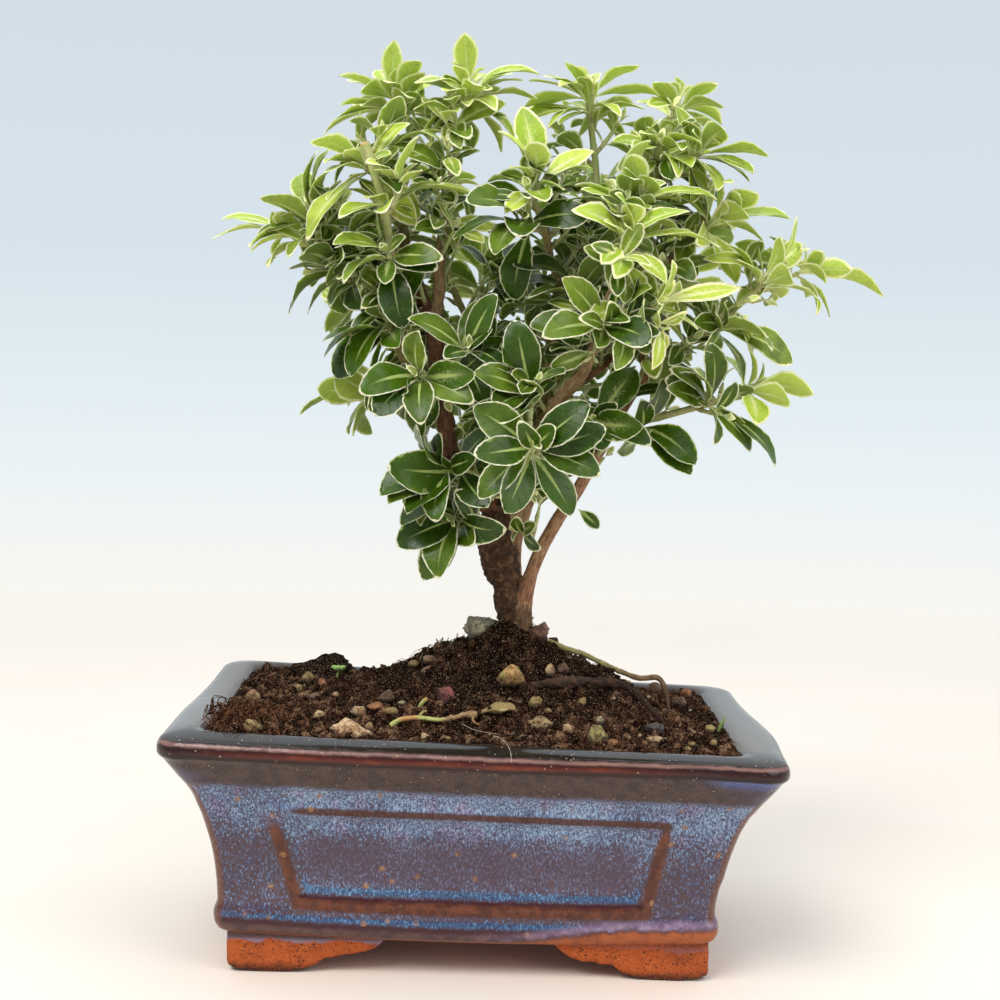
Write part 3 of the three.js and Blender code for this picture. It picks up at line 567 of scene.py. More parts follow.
def potShell():
    rows, columns = potRows(), ringColumns()
    inset, height, radius = (rows[:, k][:, None] for k in range(3))
    hangX, hangY, outX, outY, along = (columns[:, k][None, :] for k in range(5))
    x = hangX * (pot["length"] / 2 - inset - radius) + outX * radius
    y = hangY * (pot["depth"] / 2 - inset - radius) + outY * radius
    z = height + 0 * x
    front = (np.abs(outY) == 1) & (outX == 0)
    end = (np.abs(outX) == 1) & (outY == 0)
    gap = np.where(front, frameGap(x, z, pot["frameFront"]), np.where(end, frameGap(y, z, pot["frameEnd"]), farOff))
    outer = np.arange(len(rows))[:, None] < np.argmax(rows[:, 1])
    gap = np.where(outer & (z < 46), gap, farOff)
    ridge = pot["frameStands"] * np.cos(np.clip(gap / pot["frameHalfWidth"], -1, 1) * math.pi / 2) ** 1.3
    points = np.stack([x, y, z], axis=2).reshape(-1, 3)
    wobble = ripple(points, 0.03, 1) + 0.35 * ripple(points, 0.11, 2)
    push = (ridge.ravel() + pot["handWobble"] * wobble)[:, None]
    facing = np.stack([outX + 0 * x, outY + 0 * x, 0 * x], axis=2).reshape(-1, 3)
    points += facing * push * np.repeat(outer.ravel() & (rows[:, 1] < 60), len(columns))[:, None]
    points[:, 2] += 0.25 * ripple(points * (1, 1, 0), 0.022, 3) * np.repeat(rows[:, 1] > 50, len(columns))
    cornerGap = (1 - along) * np.where(front, 58, 37)
    turned = np.abs(np.degrees(np.arctan2(np.abs(outY), np.abs(outX))) - 45)
    cornerGap = np.where(front | end, cornerGap + 0.785 * radius, np.radians(turned) * radius)
    inner = (np.arange(len(rows))[:, None] > np.argmax(rows[:, 1])) + 0 * x
    # the lip's underside droops at the corners, and the foot ring sags between them
    droop = np.clip(1 - cornerGap / 17, 0, 1) ** 1.5 * np.interp(z, (43, 50, 54, 58), (0, 1, 1, 0)) * ~(inner > 0)
    sag = np.clip(1 - (x / 56) ** 2, 0, 1) * np.interp(z, (15.5, 24), (1, 0)) * (np.abs(outY) == 1) * (inset < 15)
    points[:, 2] -= (pot["cornerDroop"] * droop + pot["bottomSag"] * sag).ravel()
    # the right end bellies out, the left end a little, both only outside the inner edge of the rim
    outside = np.where(outer & (height < 57.5), 1, np.clip(1 - (inset - 0.3) / 8.5, 0, 1))
    right = np.interp(z, *zip(*pot["rightBelly"]))
    right += 2.8 * hill((y + 11) / 26) * np.interp(z, (44, 54), (0, 1))
    left = 0.7 + (0.5 + 0.9 * hill((y + 10) / 25)) * np.interp(z, (46, 54), (0, 1))
    points[:, 0] += (outside * np.where(x > 0, right, -left) * np.interp(np.abs(x), (40, 60), (0, 1))).ravel()
    points[:, 2] += (0.75 * np.interp(x, (10, 55), (0, 1)) * np.interp(z, (46, 53), (0, 1)) * outside).ravel()
    points[:, 2] += (backRise(x, y) * z / 60).ravel()
    traits = {"height": z.ravel(), "inset": (inset + 0 * x).ravel(), "frame": gap.ravel(),
        "corner": cornerGap.ravel(), "inner": inner.ravel()}
    return points, traits, len(rows), len(columns)


def makePot():
    points, traits, rowCount, columnCount = potShell()
    index = np.arange(rowCount * columnCount).reshape(rowCount, columnCount)
    mesh = meshOf(points, quads(np.hstack([index, index[:, :1]])), traits)
    shell = bmesh.new()
    shell.from_mesh(mesh)
    verts = list(shell.verts)
    layers = [shell.verts.layers.float[name] for name in ("height", "inset", "frame", "corner", "inner")]
    circles = []
    for height, ring in ((pot["underside"], index[0]), (pot["insideFloor"], index[-1])):
        edges = [shell.edges.get((verts[a], verts[b])) for a, b in zip(ring, np.roll(ring, -1))]
        for side in (-1, 1):
            middle = (side * pot["drainSpacing"] / 2, 0)
            circle = []
            for step in range(pot["drainSides"]):
                angle = 2 * step * math.pi / pot["drainSides"]
                x = middle[0] + pot["drainRadius"] * math.cos(angle)
                vert = shell.verts.new(inFrame((x, pot["drainRadius"] * math.sin(angle), height)))
                for layer, value in zip(layers, (height, 20, farOff, 30, height > pot["underside"])):
                    vert[layer] = value
                circle.append(vert)
            circles.append(circle)
            edges.extend(shell.edges.new(pair) for pair in zip(circle, circle[1:] + circle[:1]))
        bmesh.ops.triangle_fill(shell, use_beauty=True, use_dissolve=False, edges=edges)
    for lower, upper in zip(circles[:2], circles[2:]):
        for step in range(pot["drainSides"]):
            following = (step + 1) % pot["drainSides"]
            shell.faces.new((lower[step], lower[following], upper[following], upper[step]))
    for face in shell.faces:
        face.smooth = True
    bmesh.ops.recalc_face_normals(shell, faces=shell.faces)
    shell.to_mesh(mesh)
    shell.free()
    return warped(mesh)


def warped(mesh):
    points = pointsOf(mesh)
    points[:, 2] *= tilt(points[:, 0])
    movePoints(mesh, points)
    return mesh


def footOutline(reach):  # side view of one arm of a bracket foot, from its corner along to its end
    top = pot["underside"] + 1.2
    line = [(0, top), (0, 3.2), (0.4, 1.8), (1.6, 0.8), (3.8, 0.2), (6.5, 0), (reach * 0.36, 0)]
    bends = [((reach * 0.36, 0), (reach * 0.5, 0.1), (reach * 0.58, 3.4)),
        ((reach * 0.8, 4.9), (reach * 0.92, 5.6), (reach, top))]
    for start, pull, end in np.array(bends):
        for t in np.linspace(0, 1, 9):
            line.append(tuple((1 - t) ** 2 * start + 2 * t * (1 - t) * pull + t ** 2 * end))
    return np.array(line)


def makeFeet():
    points, faces = [], []
    for signX in (1, -1):
        for signY in (1, -1):
            for reach, turned in ((pot["footReach"], False), (pot["footReach"] * pot["footReachBack"], True)):
                line = footOutline(reach)
                start, count = len(points), len(line)
                for depth in (0, pot["footThickness"]):
                    for along, up in line:
                        x, y = (depth, along) if turned else (along, depth)
                        points.append((signX * (pot["length"] / 2 - pot["footInset"] - x),
                            signY * (pot["depth"] / 2 - pot["footInset"] - y), up))
                faces.append(tuple(range(start, start + count)))
                faces.append(tuple(range(start + 2 * count - 1, start + count - 1, -1)))
                for step in range(count):
                    following = (step + 1) % count
                    faces.append((start + step, start + following, start + count + following, start + count + step))
    mesh = remeshed(warped(meshOf(points, faces)), pot["footVoxel"])
    points, normals = pointsOf(mesh), normalsOf(mesh)
    worn = 0.5 * ripple(points, 0.1, 4) + 0.22 * ripple(points, 0.32, 5) + 0.1 * ripple(points, 0.8, 6)
    worn *= np.clip(points[:, 2] / 0.8, 0.3, 1)
    movePoints(mesh, points + normals * worn[:, None])
    return mesh


def glazePaint():
    paint = Finish("breaking blue glaze")
    across, front = paint.axis("X"), 0 - paint.axis("Y")
    level = paint.trait("height")
    wander = paint.mottle(0.22, 3)
    height = level + (wander - 0.5) * 1.3
    inset, corner, inner = paint.trait("inset"), paint.trait("corner"), paint.trait("inner")
    frameIn = paint.trait("frame")
    streaky = paint.stretched((1.2, 1.2, 0.55))
    fleck = paint.mottle(1.9, 4, 0.7, streaky)
    fineFleck = paint.mottle(3.4, 3, 0.65, streaky)
    cloud = paint.mottle(0.075, 3, 0.55)
    smudge = paint.mottle(0.33, 4, 0.62)
    # blue flecks over brown: dense below the lip and along the frame, sparse over the rest
    dense = height.rise(28, 44) * 1.1 - 0.45 + (cloud - 0.5) * 1.8 + frameIn.near(4.2, 3.4) * 0.3
    share = fleck + dense * 0.12 + (fineFleck - 0.5) * 0.45
    under = paint.layers("4b373b", (smudge.rise(0.45, 0.65), "44394e"), (cloud.rise(0.5, 0.62) * 0.5, "5b4038"),
        (dense.rise(0.0, 0.7) * 0.35, "454b66"))
    hue = paint.mottle(0.13, 3, 0.6, paint.spot)
    blue = paint.layers(under, (share.rise(0.44, 0.56) * 0.65, paint.mix(hue.rise(0.48, 0.64), "4a6086", "565a7c")),
        (share.rise(0.51, 0.62) * 0.85, paint.mix(hue.rise(0.48, 0.64), "6f88aa", "78789e")),
        (share.rise(0.59, 0.74) * 0.75, paint.mix(hue.rise(0.48, 0.64), "a9becc", "b0acc2")),
        ((1 - fineFleck).rise(0.55, 0.68) * 0.75, "271a26"))
    wall = paint.layers(blue, (smudge.rise(0.6, 0.72) * 0.5 * (1 - dense.atLeast(0.0)), "64463c"))
    # inside the frame the glaze is thin and plum coloured, with a bright pool along the frame
    plum = paint.layers("4b3b48", (share.rise(0.43, 0.56) * 0.7, "5e607e"), (share.rise(0.54, 0.68) * 0.6, "8487a2"),
        (smudge.rise(0.58, 0.7) * 0.5, "653c38"), ((1 - fineFleck).rise(0.54, 0.68) * 0.75, "2c1e34"))
    field = frameIn.rise(3.0, 6.2) * (1 - (height + (fleck - 0.5) * 5).rise(31.5, 36.5) * 0.9)
    pool = frameIn.near(3.1, 1.8) * (0.28 + (1 - height.rise(20, 26)) * 0.55)
    bright = paint.layers("2e4a70", (share.rise(0.45, 0.56), "4a78a2"), (share.rise(0.56, 0.7), "8eb2cc"),
        ((1 - fineFleck).rise(0.5, 0.64) * 0.9, "1c1d38"))
    pool = (pool + (fleck - 0.5) * 1.1 * pool.rise(0.05, 0.3)).rise(0.2, 0.7)
    # under the frame a bright band over the bead, a red line below it
    band = height.near(14.7, 1.35) * (1 - across.rise(14, 46) * 0.85) * (0.6 + across.rise(-60, -25) * 0.4)
    band = (band + (fleck - 0.5) * 1.0 * band).rise(0.15, 0.7)
    # iron red where the glaze breaks over edges
    rust = paint.layers("64331d", (smudge.rise(0.4, 0.6), "482218"), (height.rise(38.5, 40.5) * 0.7, "38190f"),
        (fineFleck.rise(0.55, 0.72) * 0.4, "86532f"), (share.rise(0.58, 0.72) * 0.35, "625f7c"))
    ridge = frameIn.near(-0.1, 2.9 - height.rise(37, 40) * 1.2) * (0.75 + smudge.rise(0.35, 0.55) * 0.25)
    atTurn = (0 - across).rise(39, 46) * height.rise(35, 40)  # blue runs over the frame's upper left turn
    ridge = ridge * (1 - atTurn * 0.75) + (fleck - 0.5) * 0.7 * ridge
    beadTone = paint.layers("412e2a", (smudge.rise(0.4, 0.6), "57382b"), (fineFleck.rise(0.56, 0.7) * 0.35, "74616a"))
    redLine = height.near(19.9, 0.9) * frameIn.near(1.2, 1.4) + height.near(13.2, 1.5)
    edge = 1 - (corner + (fleck - 0.5) * 1.4).rise(0.7, 2.1)
    spots = paint.cells(0.17) + (fleck - 0.5) * 0.3
    wall = paint.layers(wall, (field * 0.9, plum), (pool * 0.9, bright), (band * 0.9, bright),
        (ridge.rise(0.12, 0.7), rust), (1 - height.rise(12.2, 13.6), beadTone), (redLine.atMost(0.92), "360c10"),
        (edge * 0.94, paint.mix(fleck.rise(0.4, 0.6), "4e2a20", "70452f")),
        ((1 - spots.rise(0.07, 0.17)) * 0.75, paint.mix(fineFleck.rise(0.4, 0.6), "6e3d24", "b08458")))
    # cove, lip and rim
    tan = (1 - paint.cells(0.5).rise(0.06, 0.13)) * smudge.rise(0.35, 0.55)
    cove = paint.layers("46342f", (smudge.rise(0.42, 0.6), "352524"), (fineFleck.rise(0.54, 0.68) * 0.7, "6d594e"),
        ((1 - fineFleck).rise(0.55, 0.68) * 0.7, "291b1a"), (across.rise(56, 74) * 0.4, "4c4462"),
        (across.rise(52, 64) * level.rise(51.5, 54) * share.rise(0.46, 0.6) * 0.8, "4c62a0"),
        ((0 - across).rise(60, 72) * (1 - level.rise(50, 53)) * 0.5, "4f4c74"), (tan * 0.75, "b29a80"))
    body = paint.mix((height + (fleck - 0.5) * 3.4).rise(46.8, 48.6), wall, cove)
    glow = paint.mottle(0.16, 3, 0.5, paint.stretched((0.6, 0.6, 2)))
    darker = ((0 - across).rise(52, 70) + across.rise(30, 62)).atMost(1.0)
    lip = paint.layers("240c09", (level.near(56.1, 1.2), "4c170d"),
        (glow.rise(0.46, 0.7) * level.near(56.0, 1.1) * 0.7, "7c3219"), (darker * 0.75, "180c0e"),
        # the pink line along the lip's upper edge is partly lighter glaze where it breaks over the edge and partly a
        # painted highlight
        ((level + (smudge - 0.5) * 0.9).near(57.6, 0.75) * (0.1 + glow * 0.8), "a87c70"), (tan * 0.7, "c0a890"))
    dust = (1 - paint.cells(0.75).rise(0.08, 0.17)) * paint.mottle(0.2).rise(0.42, 0.6)
    topSide = paint.layers("3a332e", (cloud.rise(0.4, 0.62) * 0.6, "534a43"),
        (fineFleck.rise(0.6, 0.72) * 0.25, "75695e"), ((1 - smudge).rise(0.54, 0.68) * 0.5, "2a211c"),
        # the rim's top is painted lighter at both ends, a painted reflection of the bright surround seen at a grazing
        # angle
        (abs(across).rise(58, 67) * 0.5, "7b7063"), (dust * 0.6, "c3bfb2"))
    # the front strip of the rim's top is painted almost black, painted shade standing in for the darker reflection
    # its forward tilt gives; the pale specks over it are dust
    topSide = paint.layers(topSide, (front.rise(38, 45) * 0.88, "1e1714"), (front.rise(40, 46) * dust, "d2cabc"))
    dirt = 1 - (paint.cells(0.4) - smudge.rise(0.45, 0.65) * 0.1).rise(0.02, 0.08)
    topSide = paint.layers(topSide, (dirt * 0.8, "2b211b"), ((inset + (smudge - 0.5) * 5).rise(7.4, 9.0) * 0.7,
        "4a3b33"))
    onTop = inset.rise(0.9, 1.4) * level.rise(58.0, 58.5)
    # the foot ring and the underside are bare clay, and at the right the glaze stops higher
    clay = paint.layers("a6562b", (smudge.rise(0.4, 0.65) * 0.8, "803f1f"),
        (fineFleck.rise(0.6, 0.7) * 0.5, "46240f"))
    above = height - across.rise(6, 40) * 3.4 + (smudge - 0.5) * 2.0
    veil = above.near(11.9, 1.8) * (0.1 + across.rise(-5, 25) * 0.9) * (1 - inner) * 0.8
    lowest = above.near(9.6, 0.8) * (1 - across.rise(-15, 10)) * (1 - inner) * 0.6
    bare = (1 - above.rise(9.4, 11.0)) * (1 - inner)
    beneath = (1 - (level + inset.rise(12.5, 14) * -3).rise(7.0, 8.4)) * (1 - inner)
    body = paint.layers(body, ((height + (wander - 0.5) * -1.0).rise(54.2, 54.7), lip), (onTop, topSide),
        (inner * (1 - level.rise(56.6, 59.4)), paint.mix(smudge, "2c1a18", "4b2f2b")),
        (veil, paint.mix(smudge.rise(0.35, 0.65), "6c5472", "9a8098")),
        (bare, paint.mix(across.rise(-12, 20) * 0.85 + 0.1, "4c3230", clay)), (lowest, "84728c"), (beneath, clay))
    matt = (bare * 0.35 + beneath * 0.5).atMost(0.5)
    paint.coat("IOR", 1.43)
    pits = 1 - paint.cells(0.9).rise(0.03, 0.16)
    calm = 1 - onTop * 0.8
    return paint.done(body, 0.12 + fineFleck.rise(0.4, 0.8) * 0.06 + height.near(50, 5) * 0.08 + matt,
        paint.mottle(0.3, 3, 0.5) * 1.2 * calm + share * 0.12 * calm - pits * 0.1 + dust * 0.4, 0.3, 0.7)


def clayPaint():
    paint = Finish("fired red clay")
    across, low = paint.axis("X"), paint.axis("Z")
    cloud = paint.mottle(0.12, 3)
    grit = paint.mottle(1.9, 3, 0.65)
    specks = 1 - (paint.cells(1.15) - (grit - 0.5) * 0.5).rise(0.16, 0.3)
    soot = paint.mottle(0.3, 4, 0.65)
    tone = paint.layers("aa5020", (cloud.rise(0.4, 0.65), "8d401a"), (grit.rise(0.55, 0.68) * 0.6, "c0703a"),
        ((1 - grit).rise(0.56, 0.68) * 0.7, "5f2a12"), (soot.rise(0.55, 0.7) * 0.45, "743314"),
        (specks * soot.rise(0.4, 0.54), "1e100b"))
    stand = (low + (cloud - 0.5) * 2.4 + (soot - 0.5) * 3).rise(0.4, 2.6)
    tone = paint.mix((1 - stand) * (0.45 + grit.rise(0.4, 0.55) * 0.5), tone, "2c1a13")
    run = (low + (cloud - 0.5) * 5 + (grit - 0.5)).rise(7.2, 8.0) * (1 - across.rise(-20, 15) * 0.8)
    tone = paint.mix(run, tone, paint.mix(low.rise(7.4, 9.0), "8e7c90", "5a4241"))
    paint.coat("Specular IOR Level", 0.25)
    return paint.done(tone, 0.52 + grit * 0.25 - run * 0.35, paint.mottle(1.1, 4, 0.65) - specks * 0.3, 0.35, 0.9)


def makeDrainMesh(side):  # a square of plastic netting over one drain hole
    netting = bmesh.new()
    bmesh.ops.create_grid(netting, x_segments=pot["netSquares"], y_segments=pot["netSquares"], size=pot["netHalf"])
    middle = side * pot["drainSpacing"] / 2
    points = [(v.co.x + middle, v.co.y, pot["insideFloor"] * tilt(middle) + 0.8) for v in netting.verts]
    faces = facesOf(netting)
    netting.free()
    thing = placed("workpiece", meshOf(points, faces, smooth=False))
    lattice = thing.modifiers.new("lattice", "WIREFRAME")
    lattice.thickness = pot["netThread"] * millimetre
    lattice.use_even_offset = False
    return taken(thing)


def nettingPaint():
    paint = Finish("moulded netting")
    grain = paint.mottle(1.2, 2)
    return paint.done(paint.mix(grain, "1d1f21", "303336"), 0.42 + grain * 0.15, grain, 0.08)


glaze = glazePaint()
asPiece("pot_body", makePot(), ["pot"], [glaze])
asPiece("pot_feet", makeFeet(), ["pot"], [clayPaint()])
netting = nettingPaint()
for side, word in ((-1, "left"), (1, "right")):
    asPiece("drain_netting_" + word, makeDrainMesh(side), ["drain_mesh_" + word], [netting])
print("the pot, its feet and its drain netting are made")


wood = {"step": 0.8, "voxel": 0.5, "sides": 14, "fissureDepth": 0.4, "lumpHeight": 0.8, "knobHeight": 0.55,
    "knobs": 0.5, "jointEvery": 9.5, "jointHeight": 0.16}
# each limb: the points that it passes, its radii from foot to end, and how its bark looks there:
# rough, green and red, each from 0 to 1
limbs = {
    "trunk": ([(9, 1, 62), (10, 0, 72), (10, 0, 79), (10, 0, 84), (7.7, 0, 93), (5.3, 0, 101), (4, 0, 108),
        (5, 0, 115)], [5, 5.4, 4.5, 4.1, 4.3, 4.8, 4.6, 4], (1, 0, 0.1)),
    "secondStem": ([(10.5, 2, 80), (11, 3, 88), (9.6, 4, 99), (10, 4, 107), (11.5, 2, 113), (13.5, 1, 119)],
        [2.4, 2.2, 1.8, 1.9, 2.2, 2.2], (0.25, 0, 0)),
    "rightStem": ([(11.3, -1.5, 78), (11.8, -2, 86.5), (13.1, -2.3, 93.7), (16, -3, 102.4), (20.9, -3.6, 112),
        (26, -4, 120), (31, -5, 130), (39, -5, 145), (43, -5, 151), (42, -4, 157), (44, -3, 168), (47, 0, 176),
        (51, 4, 186)], [3.9, 2.6, 1.8, 1.8, 1.75, 1.7, 1.7, 1.6, 1.6, 1.3, 1.1, 1, 0.9], (0.15, 0, 0.45)),
    "rightSide": ([(43, -5, 151), (49, -7, 156), (56, -8, 161), (62, -9, 166), (71, -8, 173)],
        [1.4, 1.2, 1.1, 1, 0.9], (0.05, 0.75, 0)),
    "lowRight": ([(34, -5, 136), (41, -9, 138), (48, -11, 140), (58, -12, 143), (65, -11, 145)],
        [1.1, 1, 1, 0.9, 0.9], (0.05, 0.8, 0)),
    "leftBranch": ([(5, 0, 112), (-2, -3, 122), (-8, -6, 128), (-10, -8, 140), (-12, -8, 150), (-13, -8, 160),
        (-18, -5, 173), (-21, -2, 182), (-24, 2, 198), (-25, 4, 209), (-25, 5, 217)],
        [3.4, 2.8, 2.5, 2.3, 2.2, 2.3, 1.6, 1.4, 1.2, 1, 0.9], (0.8, 0, 0.8)),
    "leftUp": ([(-13, -8, 159), (-12, -9, 172), (-12, -8, 180), (-10, -7, 194), (-8, -6, 209), (-6, -5, 218)],
        [1.7, 1.6, 1.4, 1.1, 1, 0.9], (0.5, 0.1, 0.4)),
    "leftTwig": ([(-11, -8, 145), (-18, -6, 150), (-23, -6, 157), (-25, -8, 164), (-25, -12, 171), (-24, -15, 178),
        (-26, -16, 189), (-29, -15, 200), (-32, -14, 207)], [1.4, 1.3, 1.3, 1.2, 1.1, 1.1, 1.1, 1.1, 1],
        (0.3, 0.35, 0.2)),
    "farLeft": ([(-25, -10, 168), (-30, -4, 174), (-37, 0, 177), (-44, 1, 181)], [1, 1, 0.9, 0.8], (0.1, 0.7, 0)),
    "middle": ([(8, 1, 108), (10, 1, 118), (12, 0, 129), (15, -2, 135), (20, -8, 143), (26, -14, 151), (29, -18, 160),
        (30, -22, 166), (32, -26, 171), (34, -32, 178)], [2.8, 2.4, 2.2, 2.1, 1.9, 1.8, 1.4, 1.2, 1.1, 1],
        (0.35, 0.1, 0.2)),
    "midBack": ([(15, -2, 135), (17, 4, 149), (18, 3, 162), (20, -4, 172), (17, -10, 179), (15, -15, 187),
        (12, -19, 193)], [1.4, 1.4, 1.3, 1.2, 1.1, 1, 0.9], (0.2, 0.3, 0.2)),
    "topMid": ([(18, 3, 162), (24, 8, 181), (29, 7, 200), (27, 5, 218)], [1.2, 1.1, 1, 0.9], (0.1, 0.5, 0.1)),
    "reddish": ([(24, -10, 147), (34, -4, 155), (40, 4, 168), (43, 6, 187), (46, 6, 203), (50, 10, 218)],
        [1, 1, 1, 1, 1, 0.9], (0.15, 0, 0.8)),
    "frontLow": ([(6, -1, 115), (9, -14, 120), (11, -28, 126), (12, -35, 129)], [1.1, 1.1, 1, 0.9], (0.1, 0.5, 0.1)),
    "rear": ([(9, 2, 110), (8, 14, 125), (2, 24, 143), (-2, 32, 160), (-1, 36, 172)], [2, 1.8, 1.5, 1.2, 1],
        (0.4, 0, 0.2)),
    "rearLeft": ([(2, 24, 143), (-12, 26, 154), (-24, 26, 163), (-31, 26, 170)], [1.2, 1.1, 1, 0.9], (0.2, 0.3, 0.2)),
    "rearRight": ([(8, 14, 125), (18, 24, 142), (28, 31, 158), (40, 30, 166), (50, 27, 172)], [1.3, 1.2, 1.1, 1, 0.9],
        (0.3, 0.2, 0.2)),
    "rearTop": ([(-2, 32, 160), (-10, 27, 176), (-12, 25, 190)], [1.1, 1, 0.9], (0.1, 0.5, 0)),
    "rearTopRight": ([(28, 31, 158), (28, 30, 174), (26, 27, 190)], [1.1, 1, 0.9], (0.1, 0.5, 0)),
    "deadStub": ([(43, -5, 149), (46, -6, 153)], [1.1, 0.9], (0.9, 0, 0.2)),
    "peelingStub": ([(-13, -8, 158), (-15.5, -9.5, 163), (-17.5, -10.5, 166)], [1.3, 1.1, 0.9], (1, 0, 0.6)),
    "cutStem": ([(-24, -15, 178), (-25.6, -18, 189), (-28.6, -21.5, 200), (-31, -23, 206.5)], [1, 1.1, 1.15, 1.3],
        (0.05, 0.85, 0)),
    "surfaceRoot": ([(12, 2, 78), (17, 2, 78.4), (21, 2, 77.4), (24.5, 2, 76.1), (28.7, 2, 75), (34.3, 2, 72.4),
        (39, 2, 70.4), (44, 1, 68.9), (49, 0, 69.2), (51, -1, 66), (52, -1, 61), (53, -1, 55)],
        [1.5, 1.2, 0.9, 0.8, 0.75, 0.8, 0.75, 0.8, 0.85, 0.6, 0.5, 0.45], (0.3, 0.6, 0.1)),
    "sunkenRoot": ([(12, -17, 68), (15.4, -17.3, 69.5), (21.9, -16.5, 70), (30, -11.4, 69.6), (37.6, -8.4, 68.6),
        (41, -7.2, 67), (43.5, -8.9, 65), (47.2, -13, 62), (49.7, -14.8, 59.2)],
        [0.8, 1.2, 1.6, 1.5, 1.4, 1.2, 1.1, 0.8, 0.6], (1, 0, 0.2)),
    "rootLeft": ([(8, 0, 72), (-8, 4, 66), (-24, 8, 56), (-34, 6, 44)], [3, 2.2, 1.6, 1], (0.7, 0, 0.1)),
    "rootFront": ([(9, -1, 70), (4, -14, 62), (6, -24, 50), (0, -28, 38)], [2.6, 2, 1.4, 0.9], (0.7, 0, 0.1)),
    "rootRight": ([(12, 1, 70), (26, 8, 60), (40, 12, 50), (48, 10, 38)], [2.6, 2, 1.4, 0.9], (0.7, 0, 0.1)),
}


def limbLine(points, radii):  # the limb's centreline in short steps, with the radius at each
    line = easedRows(points, wood["step"])
    distance = alongLine(line)
    stations = np.linspace(0, distance[-1], len(radii))
    return line, np.interp(distance, stations, radii), distance


def makeWood():
    lines, samples, looks, girths, runs = [], [], [], [], []
    for number, (points, radii, look) in enumerate(limbs.values()):
        line, radius, distance = limbLine(points, radii)
        knob = 1 + wood["knobs"] * 0.4 * look[0] * ripple(line, 0.22, number)
        if look[1] > 0.3:
            knob += wood["jointHeight"] * hill(((distance % wood["jointEvery"]) - 4) / 0.7)
        lines.append((line, radius * knob, number))
        samples.extend(line)
        looks.extend([look] * len(line))
        girths.extend(radius)
        runs.extend(distance)
    tubes = swept(lines, wood["sides"])
    mesh = remeshed(tubes, wood["voxel"])
    points, normals = pointsOf(mesh), normalsOf(mesh)
    finder = kdtree.KDTree(len(samples))
    for number, sample in enumerate(samples):
        finder.insert(sample, number)
    finder.balance()
    samples, looks = np.array(samples), np.array(looks)
    nearest = []
    for point in points:
        found = finder.find_n(point, 10)
        nearest.append(min(found, key=lambda hit: hit[2] - girths[hit[1]])[1])
    nearest = np.array(nearest)
    rough, green, red = looks[nearest].T
    run = np.array(runs)[nearest]
    aside = points - samples[nearest]
    grain = np.stack([aside[:, 0], aside[:, 1], run * 0.28 + 0.35 * aside[:, 2]], axis=1)
    # the foot of the tree is old bark, and near the top all wood is green
    rough = np.where((nearest < len(lines[0][0])) & (points[:, 2] < 74), 0.8, rough)
    rough = np.where(points[:, 0] < 16, np.maximum(rough, np.clip((92 - points[:, 2]) / 8, 0, 0.75)), rough)
    high = np.clip((points[:, 2] - 180) / 18, 0, 1)
    green = np.maximum(green, 0.95 * high)
    red = red * (1 - high)
    foot = np.clip(1.4 - (points[:, 2] - 78) / 24, 0, 1)
    red = np.where((rough < 0.3) & (green < 0.3), np.maximum(red, foot), red)
    fissure = ripple(grain, 0.85, 11)
    lump = ripple(points, 0.42, 12)
    flake = np.abs(ripple(grain, 1.7, 13))
    knob = ripple(points, 0.95, 14)
    lift = rough * (wood["fissureDepth"] * (0.4 - np.abs(fissure) * 1.2) + wood["lumpHeight"] * lump
        + wood["knobHeight"] * knob + 0.25 * flake)
    thin = np.clip(np.array(girths)[nearest] / 3.2, 0.25, 1)
    lift = lift * thin + (1 - rough) * 0.05 * fissure
    root = (points[:, 0] > 15) & (points[:, 2] < 77) & (green > 0.5)
    green = np.where(root, np.clip(0.75 - (points[:, 0] - 44) / 14, 0.1, 0.75), green)
    movePoints(mesh, points + normals * lift[:, None])
    cut = hill(np.linalg.norm(points - limbs["cutStem"][0][-1], axis=1) / 1.6)
    traits = {"rough": rough, "green": green, "red": red, "crack": np.abs(fissure), "cut": cut, "grain": grain,
        "raised": lump * 0.5 + knob}
    for name, values in traits.items():
        writeTrait(mesh, name, values)
    return mesh


